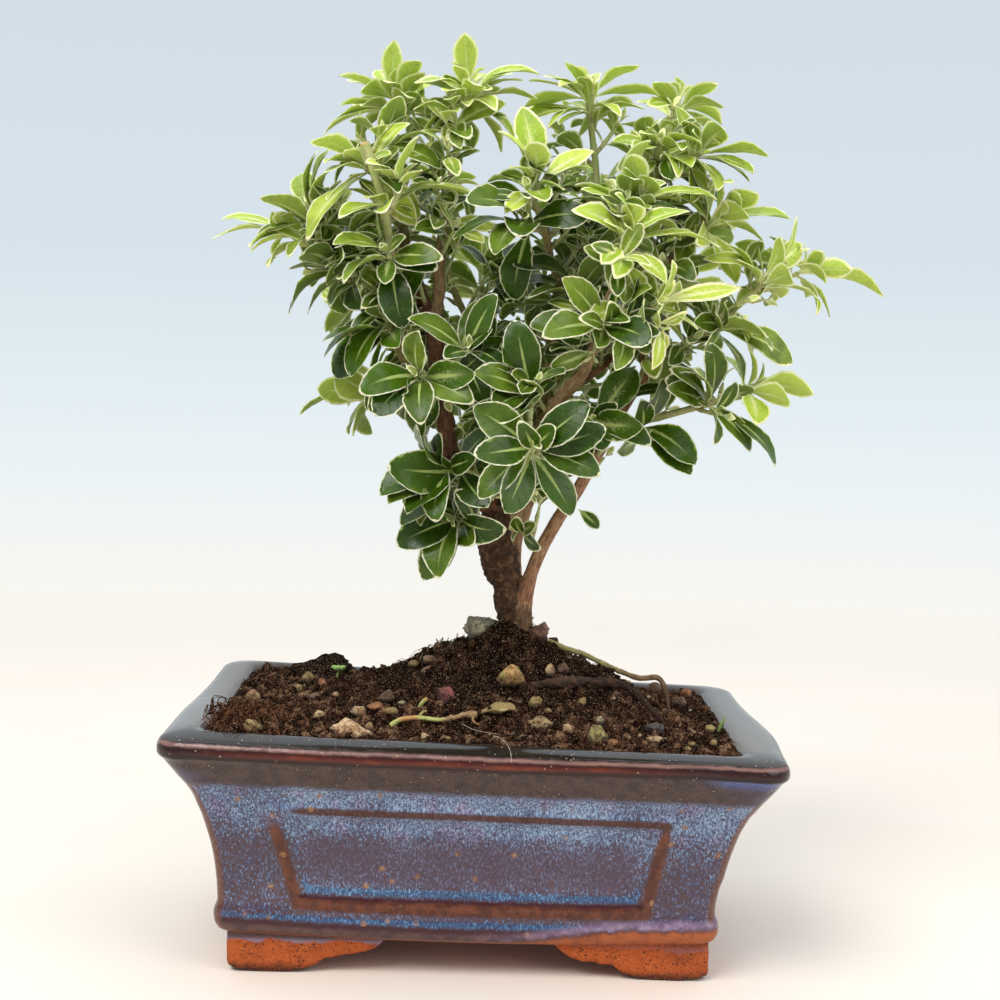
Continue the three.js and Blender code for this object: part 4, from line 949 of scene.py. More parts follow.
def barkPaint():
    paint = Finish("bark and green wood")
    rough, green, red, crack = (paint.trait(name) for name in ("rough", "green", "red", "crack"))
    grain = paint.trait("grain", "Vector")
    across, height = paint.axis("X"), paint.axis("Z")
    streak = paint.mottle(1.6, 4, 0.6, grain)
    fine = paint.mottle(4.2, 3, 0.65, grain)
    patch = paint.mottle(0.28, 3)
    raised = paint.trait("raised")
    grit = paint.mottle(1.3, 4, 0.65)
    old = paint.layers("402a1b", (patch.rise(0.42, 0.62) * 0.7, "5a3a26"), (raised.rise(0.05, 0.5) * 0.6, "6a4831"),
        ((raised + (grit - 0.5) * 2.4).rise(0.25, 0.7) * 0.45, "86644a"),
        ((0 - raised).rise(0.0, 0.4) * 0.85, "23160f"), ((1 - grit).rise(0.51, 0.6) * 0.85, "2a1b13"),
        ((1 - crack.rise(0.0, 0.08)) * 0.6, "1d120c"), (fine.rise(0.58, 0.7) * 0.4, "987a5c"))
    mossy = across.rise(8, 12) * (1 - height.rise(92, 108)) * 0.6 + (1 - height.rise(78, 86)) * 0.2
    mossy = (mossy * grit.rise(0.44, 0.58)).atMost(0.6)
    old = paint.mix(mossy, old, paint.mix(fine.rise(0.4, 0.6), "26231a", "54513a"))
    ruddy = paint.layers("80492f", (streak.rise(0.48, 0.6), "96664c"), ((1 - streak).rise(0.52, 0.64), "4d2b20"),
        (fine.rise(0.6, 0.68) * 0.7, "c0a088"))
    smooth = paint.layers("a5835f", (streak.rise(0.45, 0.65), "bd9b76"),
        ((1 - streak).rise(0.5, 0.66) * 0.8, "78563d"), (fine.rise(0.62, 0.7) * 0.6, "6c4a36"))
    fresh = paint.layers("b3b87c", (patch.rise(0.4, 0.65), "9fae66"), (streak.rise(0.55, 0.7) * 0.5, "c9c993"),
        ((1 - streak).rise(0.6, 0.72) * 0.6, "8a7a4c"))
    onSoil = 1 - height.rise(78, 84)
    fresh = paint.layers(fresh, (onSoil * 0.6, paint.mix(streak.rise(0.4, 0.6), "7a6434", "a89a5a")),
        (onSoil * across.rise(33, 42) * 0.75, paint.mix(streak, "6b4630", "9c7a58")))
    tone = paint.layers(smooth, (red * 0.9, ruddy), (rough.rise(0.3, 0.7) * (1 - red * 0.6), old), (green, fresh))
    tone = paint.mix((1 - height.rise(69, 74)) * across.rise(10, 14) * (1 - green) * 0.9, tone,
        paint.mix(streak.rise(0.45, 0.64), "1a0e0a", "4a2c20"))  # the wet root
    tone = paint.mix((paint.trait("cut") + (streak - 0.5) * 0.8).rise(0.45, 0.6), tone,
        paint.mix(fine, "d9b65a", "b98f78"))
    paint.coat("Specular IOR Level", 0.3)
    roughness = (0.5 + rough * 0.35 + fine * 0.1).atMost(0.92)
    return paint.done(tone, roughness, streak * (0.5 + rough) + fine * 0.5, 0.28, 0.9)


asPiece("tree_limbs", makeWood(), ["tree_wood"], [barkPaint()])
print("the trunk, branches and roots are made")


# each shoot: the middle of its rosette, how young it is, how many extra leaves close it up, where leaf
# tips lie from its middle as (right, up), with how much wider a leaf is where it isn't as wide as the
# others, and the same for leaves one joint further down its stem
shoots = [
    ((-25, 5, 223), 0.9, 9, [(-1, 14), (-6, 10), (-14, 6), (-13, 7), (6, 9), (5, 3), (-9, 1)],
     [(-20, -8), (-17, -5), (-10, -11), (10, -1), (17, -4)]),
    ((-5, -5, 224), 0.9, 9, [(-2, 13), (-3, 10), (17, 6), (-13, 4), (-13, 1), (5, 7), (-4, 5)],
     [(7, -6), (13, -12), (-13, -11), (-12, -17), (10, -15), (17, 0)]),
    ((-22, -20, 195), 0.6, 5, [(5, 5), (-5, 5), (3, 13), (19, 1), (-7, 7)], [(-8, -2)]),
    ((-31, -16, 201), 0.7, 3, [(-13, 7), (-10, 1), (-5, 4), (6, 3)], [(-10, -8), (-17, -16), (14, -12), (13, -14)]),
    ((-24, -20, 178), 0.2, 3, [(-13, 4), (12, 0), (-1, -6), (-11, -5), (3, 5)], [(3, -17)]),
    ((-45, -4, 191), 0.5, 4, [(-1, 15), (-4, 7), (4, 11), (-6, 12), (2, 16)], [(-13, 4), (8, -1)]),
    ((-53, 0, 186), 0.9, 3, [(-17, 5), (-20, 0), (-9, -4), (-5, -5), (-2, 5), (-5, 2)], [(-5, -9), (6, -8)]),
    ((-39, -6, 176), 0.1, 4, [(-13, -11), (0, -10), (-8, 4), (-3, -5)], [(6, -10)]),
    ((-25, -15, 163), 0, 3, [(-9, -14), (-4, 5)], [(-15, -4), (-16, -8), (-14, -14)]),
    ((-30, 0, 143), 0.5, 4, [(-14, 2), (-19, -3), (-5, -10), (-2, -10)], [(-10, 6)]),
    ((26, 4, 225), 0.9, 6, [(-6, 7), (-5, 6), (12, 8), (19, 2), (-15, 4), (-17, -2), (-8, 1), (2, 5)],
     [(-11, -9), (-20, -8), (8, -6)]),
    ((51, 11, 224), 0.9, 5, [(9, 5), (13, -2), (-4, 5), (11, -5), (-9, -1), (-3, -8)], [(7, -10), (-6, -13)]),
    ((44, -6, 209), 0.7, 4, [(10, 2), (-5, 4), (-7, -1), (5, -7)], [(8, -4), (-9, -8)]),
    ((55, -8, 208), 0.5, 2, [(17, 2), (13, -4), (5, 6), (-2, 5)], [(4, -9)]),
    ((12, -22, 198), 0.8, 3, [(0, 9), (14, 9), (-8, 12), (-3, 19), (7, -2), (-6, 3)], [(-7, -8)]),
    ((38, -20, 194), 0.7, 3, [(-2, 11), (12, 3), (20, 3), (-5, 5), (4, 5)], [(-14, 3)]),
    ((34, -36, 183), 0.9, 2, [(2, 8), (15, 8), (23, 1), (-2, 10), (-12, 7), (-5, 4)], [(10, -10), (-6, -6)]),
    ((60, -8, 191), 0.7, 4, [(-3, 14), (9, 7), (19, 3), (5, 6), (4, -2)], [(-5, -6), (7, 2)]),
    ((73, -9, 177), 0.7, 4, [(3, 9), (-5, 10), (9, 14), (11, 10), (-16, 5), (5, 6)], [(-8, 4), (-5, -6)]),
    ((84, 4, 179), 0.9, 2, [(13, 1), (23, -3), (5, 5), (5, -5), (5, -11)], []),
    ((41, -36, 167), 1, 3, [(5, 9, 1.3), (22, 5, 0.5)], []),
    ((29, -38, 161), 0.25, 2, [(-14, -1), (10, -2), (2, 5), (5, 2), (-5, 2)], [(-1, -4)]),
    ((13, -42, 132), 0.08, 0, [(-14, 9), (-13, -2), (-13, -12), (12, 10), (16, 4), (15, -5), (-3, 5), (4, 4)],
     [(10, -16), (-6, -15)]),
    ((12, -30, 145), 0.1, 2, [(-4, 17), (-13, 5), (-9, -3), (7, 6), (-4, 5)], [(-17, -6)]),
    ((-3, -24, 155), 0.1, 3, [(9, -4), (5, 13), (-6, -1), (4, 5)], []),
    ((-15, -30, 148), 0.15, 1, [(-2, 10), (-14, -2), (12, 1), (0, -10), (-11, -8), (12, -5)], [(0, 4)]),
    ((-9, -24, 126), 0.1, 2, [(-16, -6), (-14, -8), (-8, 8), (7, 2), (-3, -12), (-2, 7)],
     [(10, -9), (-12, -1), (-9, -10), (-11, -14)]),
    ((-5, -20, 113), 0.06, 0, [(-15, -6), (-9, -16), (-6, -14), (10, -3), (-6, 2)], [(2, -6)]),
    ((11, -8, 109), 0.1, 0, [(-2, 3), (3, 2), (4, -4)], []),
    ((28, -18, 138), 0, 2, [(11, -1), (5, 4), (3, -6)], [(13, -4)]),
    ((41, -12, 136), 0.1, 1, [(13, -10), (14, -7), (0, 7), (-5, -6)], []),
    ((58, -14, 143), 0.3, 2, [(-10, 4), (-9, 9), (1, 15), (2, -9), (-3, 9)], [(-3, 1)]),
    ((70, -8, 148), 0.7, 2, [(16, 0), (-6, 10), (-1, 10), (12, -2)], []),
    ((62, -12, 163), 0.3, 3, [(19, -7), (12, -4), (-8, 1), (-5, -6), (0, 6)], [(10, -1)]),
    ((22, -14, 172), 0.1, 3, [(-17, 2), (0, 2), (7, -6), (-6, -5)], [(-14, 7)]),
    ((8, -24, 187), 0.1, 3, [(-16, -3), (2, 2), (-12, 6)], [(-6, -7)]),
    ((-2, 40, 182), 0.5, 7, [(12, 6), (-12, 8)], []),
    ((-38, 30, 175), 0.5, 7, [(-12, 6), (5, 12)], []),
    ((-14, 27, 200), 0.7, 7, [(-8, 8), (10, 6)], []),
    ((27, 30, 200), 0.7, 7, [(-10, 6), (10, 7)], []),
    ((56, 28, 180), 0.6, 7, [(12, 7), (-4, 12)], []),
    ((30, 40, 162), 0.2, 7, [(12, 2), (-10, 6)], []),
    ((-14, 34, 150), 0.1, 7, [(-12, 3), (6, 8)], []),
    ((12, 30, 144), 0.1, 6, [(-12, -4), (11, -2)], []),
]
leaf = {
    "matureLength": 19, "youngLength": 16, "matureHalfWidth": 4.5, "youngHalfWidth": 3.55,
    "thickness": 0.32, "stalkShare": 0.08, "stalkWidth": 0.1, "widestPower": 1.36, "fullness": 0.54,
    "youngSlimmer": 0.34, "arch": 0.075, "fold": 0.24, "wave": 0.03, "tipDroop": 0.12,
    "crownCentre": (12, 4, 150), "stemRadius": 0.85, "stemSides": 8, "goldenAngle": 2.39996,
    "firstJoint": 7.0, "lastJoint": 3, "jointGap": 6.4, "knuckles": (3, 6.5, 13, 21),  # from the shoot's tip
    "knuckleHeight": 0.2, "sprigEvery": 4.4, "sprigLength": (3, 10), "sprigLeaf": (9.5, 16), "lowestSprig": 117,
}
# where the crown is full, right and up as seen from the front
crownOutline = [
    (-36, 224), (-28, 229), (-16, 229), (-6, 231), (4, 226), (10, 218), (18, 224), (28, 227), (40, 223), (50, 221),
    (58, 217), (56, 206), (68, 203), (66, 192), (78, 188), (84, 181), (96, 177), (84, 173), (74, 170), (66, 163),
    (76, 157), (64, 156), (56, 152), (66, 150), (78, 147), (62, 142), (46, 142), (44, 148), (36, 152), (34, 142),
    (38, 138), (30, 128), (26, 118), (20, 114), (12, 120), (9, 108), (2, 110), (-6, 108), (-14, 98), (-20, 106),
    (-22, 114), (-28, 121), (-18, 130), (-20, 138), (-32, 137), (-34, 144), (-44, 146), (-36, 151), (-42, 160),
    (-38, 165), (-50, 169), (-46, 176), (-58, 179), (-66, 186), (-66, 191), (-54, 192), (-52, 197), (-46, 203),
    (-44, 211), (-36, 213),
]
skyGaps = [(-6, 177, 4.5), (-7, 166, 4.5), (36, 147, 4), (61, 153, 3), (8, 222, 4), (-31, 154, 3)]
# wood that no extra leaf may hide: its course as seen from the front, how far forward it is, and its half width
bareWood = [
    ([(-13, 182), (-14, 166), (-12, 152), (-10, 138), (-9, 128)], -8, 3),
    ([(-21, 190), (-18, 174), (-15, 164)], -5, 2.2), ([(-26, 162), (-22, 154)], -7, 2.2),
    ([(14, 134), (19, 142), (25, 151)], -8, 3), ([(24, 142), (33, 154)], -5, 2),
    ([(12, 82), (15, 92), (22, 113), (27, 124), (31, 131)], -4, 3.2), ([(37, 143), (42, 156)], -5, 2.4),
    ([(6, 80), (5, 108), (7, 116)], -4, 6), ([(-33, 209), (-28, 192), (-26, 181)], -22, 2.6),
    ([(40, 139), (58, 142)], -10, 2.4), ([(62, 165), (71, 172)], -8, 2), ([(27, 203), (27, 221)], 3, 1.6),
    ([(13, 192), (17, 181), (20, 172)], -12, 1.8), ([(33, 178), (32, 169)], -26, 2),
]
# single leaves on bare wood: base and tip of each, how young it is and how much wider
loneLeaves = {
    "rightStem": [((26, -5, 114.6), (31.6, -7, 110.0), 0.1, 1.0)],
    "lowRight": [((62, -12, 140.9), (77.1, -16, 129.2), 0.15, 0.9), ((69, -11, 146), (70.4, -19, 139.1), 0.75, 2.0)],
}


def asSeen(point):  # where the camera sees a point, as right and up at the pot's middle
    eyeX, eyeY, eyeZ = studio["cameraSpot"]
    nearer = eyeY / (eyeY - point.y)
    return eyeX + (point.x - eyeX) * nearer, eyeZ + (point.z - eyeZ) * nearer


def insideOutline(right, up):
    inside = False
    for (x1, z1), (x2, z2) in zip(crownOutline, crownOutline[1:] + crownOutline[:1]):
        if (z1 > up) != (z2 > up) and right < x1 + (up - z1) / (z2 - z1) * (x2 - x1):
            inside = not inside
    return inside


def offLine(right, up, line):  # how far a seen place is from a course of wood
    nearest = 1e9
    for (x1, z1), (x2, z2) in zip(line, line[1:]):
        runX, runZ = x2 - x1, z2 - z1
        share = min(1, max(0, ((right - x1) * runX + (up - z1) * runZ) / (runX ** 2 + runZ ** 2)))
        nearest = min(nearest, math.hypot(right - x1 - share * runX, up - z1 - share * runZ))
    return nearest


def welcome(base, tip):  # whether an extra leaf may stand there
    for share in (0.35, 0.7, 1.0):
        spot = base.lerp(tip, share)
        right, up = asSeen(spot)
        if share > 0.5 and not insideOutline(right, up):
            return False
        if any(math.hypot(right - x, up - z) < reach for x, z, reach in skyGaps):
            return False
        if any(spot.y < front + 3 and offLine(right, up, line) < half for line, front, half in bareWood):
            return False
    return True


def bladeTemplate():  # one closed leaf blade, its outline still a rectangle: the tool gives it its shape
    across, along = np.meshgrid([-1, -0.58, 0, 0.58, 1.0],
        [0, 0.06, 0.14, 0.25, 0.38, 0.53, 0.68, 0.82, 0.92, 0.98, 1.0])
    upper = np.arange(along.size).reshape(along.shape)
    inner = upper[1:-1, 1:-1]
    lower = upper.copy()  # the two sides share their rim
    lower[1:-1, 1:-1] = along.size + np.arange(inner.size).reshape(inner.shape)
    across, along = (np.append(grid, grid[1:-1, 1:-1]) for grid in (across, along))
    side = np.zeros(along.size)
    side[inner], side[lower[1:-1, 1:-1]] = 1, -1
    points = np.stack([across * 0.1, along, side * 0.01], axis=1)
    faces = quads(upper) + [face[::-1] for face in quads(lower)]
    mesh = meshOf(points, faces, {"across": across, "along": along, "side": side})
    movePoints(mesh, points - potMiddle * 1000)
    sharp = [all(side[v] == 0 for v in edge.vertices) for edge in mesh.edges]
    mesh.attributes.new("sharp_edge", "BOOLEAN", "EDGE").data.foreach_set("value", sharp)
    return placed("bladeTemplate", mesh)


def bladeOutline(along, young):  # share of the half width at a place along the blade, with its short stalk
    blade = ((along - leaf["stalkShare"]) / (1 - leaf["stalkShare"])).atLeast(0.0)
    swelling = (blade ** leaf["widestPower"] * math.pi).sine().atLeast(0.0)
    swelling = swelling ** (leaf["fullness"] + young * leaf["youngSlimmer"])
    return swelling.atLeast((1 - along) * leaf["stalkWidth"])


def shootTool():  # sets a blade on every leaf point, shapes it, and adds the shoot's stem
    tool = Tool("shoot", {"Blade": "Object", "Stem": "Object", "Leaf thickness": "Float", "Stem sides": "Int",
        "Leaf finish": "Material", "Stem finish": "Material"})
    place = tool.node("GeometryNodeInputPosition")
    rooted = tool.keep(tool.given("Geometry"), "foot", place, "FLOAT_VECTOR")
    blade = tool.step("ObjectInfo", {"Object": tool.given("Blade")}, output="Geometry")
    blades = tool.step("InstanceOnPoints", {"Points": rooted, "Instance": blade})
    blades = tool.step("RealizeInstances", {"Geometry": blades})
    along, across, side = (tool.named(name) for name in ("along", "across", "side"))
    length, halfWidth, arch, fold = (tool.named(name) for name in ("length", "halfWidth", "arch", "fold"))
    seed, young = tool.named("seed"), tool.named("young")
    half = halfWidth * bladeOutline(along, young)
    aside = across * half
    rise = arch * length * along * (1 - along) * 4 + fold * abs(aside)
    rise = rise + (along * 11 + seed * 30).sine() * abs(across) ** 2 * length * leaf["wave"] * along
    rise = rise + side * tool.given("Leaf thickness") * 0.5 - along ** 3 * length * leaf["tipDroop"]
    twist = (seed * 17).sine() * along * 0.5
    rise = rise + twist * aside
    foot, cross, ahead, face = (tool.named(name, "FLOAT_VECTOR") for name in ("foot", "cross", "ahead", "face"))
    shaped = tool.summed(foot, tool.scaled(cross, aside), tool.scaled(ahead, along * length), tool.scaled(face, rise))
    blades = tool.step("SetPosition", {"Geometry": blades, "Position": shaped})
    stem = tool.step("ObjectInfo", {"Object": tool.given("Stem")}, output="Geometry")
    stem = tool.keep(tool.tube(stem, tool.given("Stem sides"), tool.named("girth")), "isStem", 1.0)
    both = tool.step("JoinGeometry", {"Geometry": stem})
    tool.tree.links.new(blades.socket, both.socket.node.inputs["Geometry"])
    stemShare = tool.named("isStem")
    tool.ending(both, ("Leaf finish", True), ("Stem finish", stemShare.maths("GREATER_THAN", stemShare, 0.5)))
    return tool


woodSpots = [Vector(point) for points, radii, look in limbs.values() for point in points]


def shootFoot(centre):  # a shoot grows from the nearest point of the wood that is not above it
    high = [spot for spot in woodSpots if spot.z > 100]
    return min(high, key=lambda spot: (spot - centre).length + 2 * max(0, spot.z - centre.z + 2))


def byAge(kind, young):  # between a mature leaf's measure and a young one's
    return leaf["mature" + kind] + (leaf["young" + kind] - leaf["mature" + kind]) * young


def leafRow(base, tip, axis, young, chance, scale=1.0):
    ahead = tip - base
    length = ahead.length
    ahead.normalize()
    face = axis - ahead * axis.dot(ahead)
    if face.length < 0.05:
        face = Vector((0, -1, 0.1))
        face -= ahead * face.dot(ahead)
    face.normalize()
    face.rotate(Matrix.Rotation(chance.uniform(-0.35, 0.35), 3, ahead))
    cross = ahead.cross(face)
    half = byAge("HalfWidth", young) * length / leaf["matureLength"] * chance.uniform(0.9, 1.12) * scale
    age = min(1, max(0, young + chance.uniform(-0.16, 0.16)))
    return {"at": base, "ahead": ahead, "face": face, "cross": cross, "young": age,
        "length": length * millimetre, "halfWidth": half * millimetre,
        "arch": leaf["arch"] * chance.uniform(0.3, 1.7), "fold": leaf["fold"] * chance.uniform(0.5, 1.5),
        "seed": chance.random()}


def splayed(axis, turn, tilt):  # a direction that leans out from an axis
    across = Vector((0, 0, 1)).cross(axis).normalized()
    away = across * math.cos(turn) + axis.cross(across) * math.sin(turn)
    return axis * math.cos(tilt) + away * math.sin(tilt)


def sideways(axis, turn):  # a direction square to an axis
    away = axis.orthogonal().normalized()
    away.rotate(Matrix.Rotation(turn, 3, axis))
    return away


def addPair(rows, base, axis, turn, size, young, chance, spread=1.1):  # two leaves facing each other on a stem
    for half in (0, math.pi):
        away = sideways(axis, turn + half + chance.uniform(-0.35, 0.35))
        tilt = spread + chance.uniform(-0.3, 0.25)
        direction = axis * math.cos(tilt) + away * math.sin(tilt)
        tip = base + direction * size * chance.uniform(0.78, 1.15)
        if welcome(base, tip):
            face = (axis + Vector((0, -0.1, 0.45))).normalized()
            rows.append(leafRow(base, tip, face, young, chance))


def addBuds(rows, centre, axis, count, young, chance, size=1.0):  # the small new leaves in the middle
    first = chance.uniform(0, math.pi)
    for j in range(count):
        turn = first + j * math.pi + (j // 2) * quarterTurn
        direction = splayed(axis, turn, 0.35 + 0.3 * (j // 2))
        base = centre + axis * (1.2 - 0.6 * (j // 2))
        length = (4.5 + 2.2 * (j // 2)) * chance.uniform(0.85, 1.2) * size
        rows.append(leafRow(base, base + direction * length, axis, min(1, young + 0.35), chance, 1.15))


def stemGirth(line, share=1.0):
    distance = alongLine(line)
    girth = leaf["stemRadius"] * share * np.interp(distance, [0, distance[-1] * 0.7, distance[-1]], [1.0, 0.88, 0.5])
    for back in leaf["knuckles"]:
        girth += leaf["knuckleHeight"] * share * hill((distance - (distance[-1] - back)) / 0.6)
    return girth


def growSprig(rows, lines, foot, heading, length, size, young, chance):  # a short side shoot with two or three pairs
    end = foot + heading * length
    lift = Vector((0, 0, 0.12 * length))
    line = easedRows([foot, foot.lerp(end, 0.5) + lift * 0.3, end + lift], 1.0)
    end = Vector(line[-1])
    axis = Vector(line[-1] - line[-2]).normalized()
    before = len(rows)
    turn = chance.uniform(0, math.pi)
    addPair(rows, end - axis * 0.4, axis, turn, size * 0.8, min(1, young + 0.1), chance, 0.95)
    addPair(rows, end - axis * min(2.6, length * 0.4), axis, turn + quarterTurn, size, young, chance, 1.2)
    if length > 6:
        addPair(rows, foot.lerp(end, 0.35), axis, turn, size * 0.9, young * 0.7, chance, 1.3)
    if len(rows) > before:
        addBuds(rows, end - axis * 0.8, axis, 2, young, chance, 0.85)
        lines.append((line, stemGirth(line, 0.72), 0.0))


def growShoot(row, number, chance):
    at, young, fill, tips, low = row
    centre = Vector(at)
    foot = shootFoot(centre)
    stem = centre - foot
    outward = (centre - Vector(leaf["crownCentre"])).normalized()
    axis = stem.normalized() * 0.5 + outward * 0.8
    axis.z += 0.35
    axis.normalize()
    natural = byAge("Length", young)
    facing = math.copysign(1, axis.y) if abs(axis.y) > 0.25 else 0
    rows = []
    for spots, setback in ((tips, min(1.5, stem.length * 0.3)), (low, min(5, stem.length * 0.6))):
        for order, (right, up, *wider) in enumerate(spots):
            reach = math.hypot(right, up)
            depth = min(math.sqrt(max(0, natural ** 2 - reach ** 2)) * 0.8, reach * 1.1 + 2)
            side = facing or (-1 if order % 2 == 0 else 1)
            base = centre - stem * (setback / stem.length)
            rows.append(leafRow(base, centre + Vector((right, side * depth, up)), axis, young, chance, *wider))
    for j in range(fill):
        turn = number * 0.9 + j * leaf["goldenAngle"]
        direction = splayed(axis, turn, 1.15 + 0.25 * math.sin(number * 3.1 + j * 1.7))
        base = centre - stem * (min(3 + j * 1.6, stem.length * 0.8) / stem.length)
        rows.append(leafRow(base, base + direction * natural * 0.92, axis, young * 0.8, chance))
    addBuds(rows, centre, axis, 2 + 2 * round(young * 1.4), young, chance)
    bend = foot.lerp(centre, 0.5) - axis * 0.08 * stem.length
    line = easedRows([foot, bend, centre, centre + axis * 1.5], 1.0)
    lines = [(line, stemGirth(line), 0.0)]
    distance = alongLine(line)
    back, joint = leaf["firstJoint"], 0
    while back < distance[-1] - leaf["lastJoint"]:  # older pairs down the stem, and a side shoot in some axils
        step = int(np.searchsorted(distance, distance[-1] - back))
        spot, ahead = Vector(line[step]), Vector(line[step] - line[step - 1]).normalized()
        age = young * max(0.1, 1 - 0.28 * (joint + 1))
        addPair(rows, spot, ahead, joint * quarterTurn + number, natural * 0.86, age, chance, 1.25)
        for side in (0, math.pi) if joint % 2 else (chance.choice((0, math.pi)),):
            heading = (ahead * 0.8 + sideways(ahead, joint * quarterTurn + number + side)).normalized()
            growSprig(rows, lines, spot, heading, chance.uniform(*leaf["sprigLength"]),
                chance.uniform(*leaf["sprigLeaf"]), age, chance)
        back += leaf["jointGap"] * chance.uniform(0.8, 1.2)
        joint += 1
    return rows, lines


def growAlong(name, chance):  # the short shoots all along one limb
    points, radii, look = limbs[name]
    line, radius, distance = limbLine(points, radii)
    rows, lines = [], []
    place = chance.uniform(1, leaf["sprigEvery"])
    while place < distance[-1]:
        step = int(np.searchsorted(distance, place))
        foot, ahead = Vector(line[step]), Vector(line[step] - line[step - 1]).normalized()
        if foot.z > leaf["lowestSprig"]:
            away = sideways(ahead, chance.uniform(0, 2 * math.pi))
            heading = (away + ahead * 0.5 + Vector((0, 0, 0.35))).normalized()
            outer = max((foot.z - 180) / 60, abs(foot.x - 12) / 150, 0)
            young = min(0.8, max(0, outer * 0.9 + chance.uniform(-0.15, 0.2)))
            growSprig(rows, lines, foot, heading, chance.uniform(*leaf["sprigLength"]) + radius[step],
                chance.uniform(*leaf["sprigLeaf"]), young, chance)
        place += leaf["sprigEvery"] * chance.uniform(0.6, 1.4)
    for base, tip, young, wider in loneLeaves.get(name, []):
        rows.append(leafRow(Vector(base), Vector(tip), Vector((0, -0.7, 0.6)), young, chance, wider))
    return rows, lines


def leafPaint():
    paint = Finish("variegated leaf")
    along, across, side = (paint.trait(name) for name in ("along", "across", "side"))
    young, seed = paint.trait("young"), paint.trait("seed")
    halfWidth, length = paint.trait("halfWidth") * 1000, paint.trait("length") * 1000
    half = halfWidth * bladeOutline(along, young)
    aside = abs(across) * half
    rimGap = (half - aside).atMost((1 - along) * length)
    waver = paint.mottle(0.9, 2)
    broad = paint.mottle(0.22, 2)
    rimWidth = 0.24 + young * 0.42 + (waver - 0.5) * 0.55
    rim = 1 - ((rimGap - rimWidth) / 0.2).rise(-0.5, 0.9)
    age = (young + (broad - 0.5) * 0.25).rise(0.08, 0.76)
    tone = paint.mix(age, paint.mix(seed, "243c02", "415f04"), paint.mix(seed, "98b22c", "c2d250"))
    vein = ((along * length * 0.8 - aside * 0.85) * 2.7).sine().rise(0.86, 1.0) * (1 - along.rise(0.75, 0.95))
    midrib = 1 - (aside - (0.36 + seed * 0.4) * (1 - along)).rise(0.0, 0.16)
    midrib = midrib * (1 - along.rise(0.55, 0.9) * (1 - age * 0.4))
    splashed = seed.rise(0.86, 0.92) * (1 - age) * 0.6
    feathered = 1 - (aside / half.atLeast(0.3) + (paint.mottle(1.4, 3, 0.6) - 0.5) * 1.6).rise(0.0, 0.4)
    feathered = feathered * (1 - along.rise(0.5, 0.95)) * (age.rise(0.3, 1.0) + splashed)
    tone = paint.layers(tone, (waver.rise(0.5, 0.75) * 0.3, paint.mix(age, "4b7020", "bed058")),
        ((1 - broad).rise(0.5, 0.65) * 0.3, paint.mix(age, "1e340a", "779828")),
        ((1 - along.rise(0.0, 0.4)) * 0.35 * (0.2 + age), "b9cf6e"),
        (vein * 0.07, paint.mix(age, "5f8d3a", "c2dc7e")), (feathered * 0.65, "dde09c"),
        (midrib * (0.75 + age * 0.15), paint.mix(age, "b4c474", "dfe5a0")),
        (rim * 0.95, paint.mix(age, "e2e2b8", "f0f0b4")))
    # the underside is a paler green, and is also painted brighter to stand in for light shining through the leaf
    under = paint.layers(paint.mix(age, "70863a", "bccb62"), (waver.rise(0.5, 0.7) * 0.3, "92a852"),
        (midrib * 0.7, "ccd898"), (rim * 0.9, "e9edba"))
    below = 1 - side.rise(-0.2, 0.0)
    paint.coat("Specular IOR Level", 0.3)
    paint.coat("Subsurface Weight", 0.45)
    paint.coat("Subsurface Radius", (0.7, 1.0, 0.25))
    paint.coat("Subsurface Scale", 0.0007)
    groove = midrib * -0.7 - vein * 0.5 + waver * 0.3 + paint.mottle(3.5, 2) * 0.12
    return paint.done(paint.mix(below, tone, under), 0.24 + age * 0.14 + below * 0.25 + waver * 0.1, groove, 0.2, 0.8)


def stemPaint():
    paint = Finish("green stem")
    run = paint.trait("run")
    streak = paint.mottle(1.4, 3, 0.6, paint.stretched((1, 1, 0.35)))
    patch = paint.mottle(0.3, 2)
    tone = paint.layers("b3be76", (patch.rise(0.4, 0.62), "c4c98e"), (streak.rise(0.55, 0.7) * 0.5, "d5d8a4"),
        ((1 - streak).rise(0.58, 0.72) * 0.5, "98985e"))
    ring = ((run - 0.5) / 7.5 * 2 * math.pi).sine().rise(0.965, 0.995)
    tone = paint.layers(tone, (ring * 0.6, "7b5b3a"), ((1 - run.rise(1, 6)) * 0.4, "94805a"))
    return paint.done(tone, 0.5 + streak * 0.2, streak + ring * 0.6, 0.12, 0.8)


def makeShoots():
    tool, blade = shootTool(), bladeTemplate()
    leafFinish, stemFinish = leafPaint(), stemPaint()
    chance = random.Random(11)
    total = 0
    jobs = [(f"shoot_{number + 1:02d}", row, number) for number, row in enumerate(shoots)]
    jobs += [(name, None, 0) for name in limbs if not name.startswith(("root", "surface", "cut", "dead", "peel"))]
    for name, row, number in jobs:
        rows, lines = growShoot(row, number, chance) if row else growAlong(name, chance)
        if not rows:
            continue
        total += len(rows)
        traits = {key: [entry[key] for entry in rows] for key in rows[0] if key != "at"}
        points = meshOf([entry["at"] for entry in rows], [], traits)
        stem = placed("stemLine", strands(lines))
        mesh = tool.use(points, {"Blade": blade, "Stem": stem, "Leaf thickness": leaf["thickness"] * millimetre,
            "Stem sides": leaf["stemSides"], "Leaf finish": leafFinish, "Stem finish": stemFinish})
        bpy.data.objects.remove(stem)
        asPiece("leafy_" + name, mesh, [name] if row else [])
    bpy.data.objects.remove(blade)
    print(total, "leaves are set on their shoots")


makeShoots()


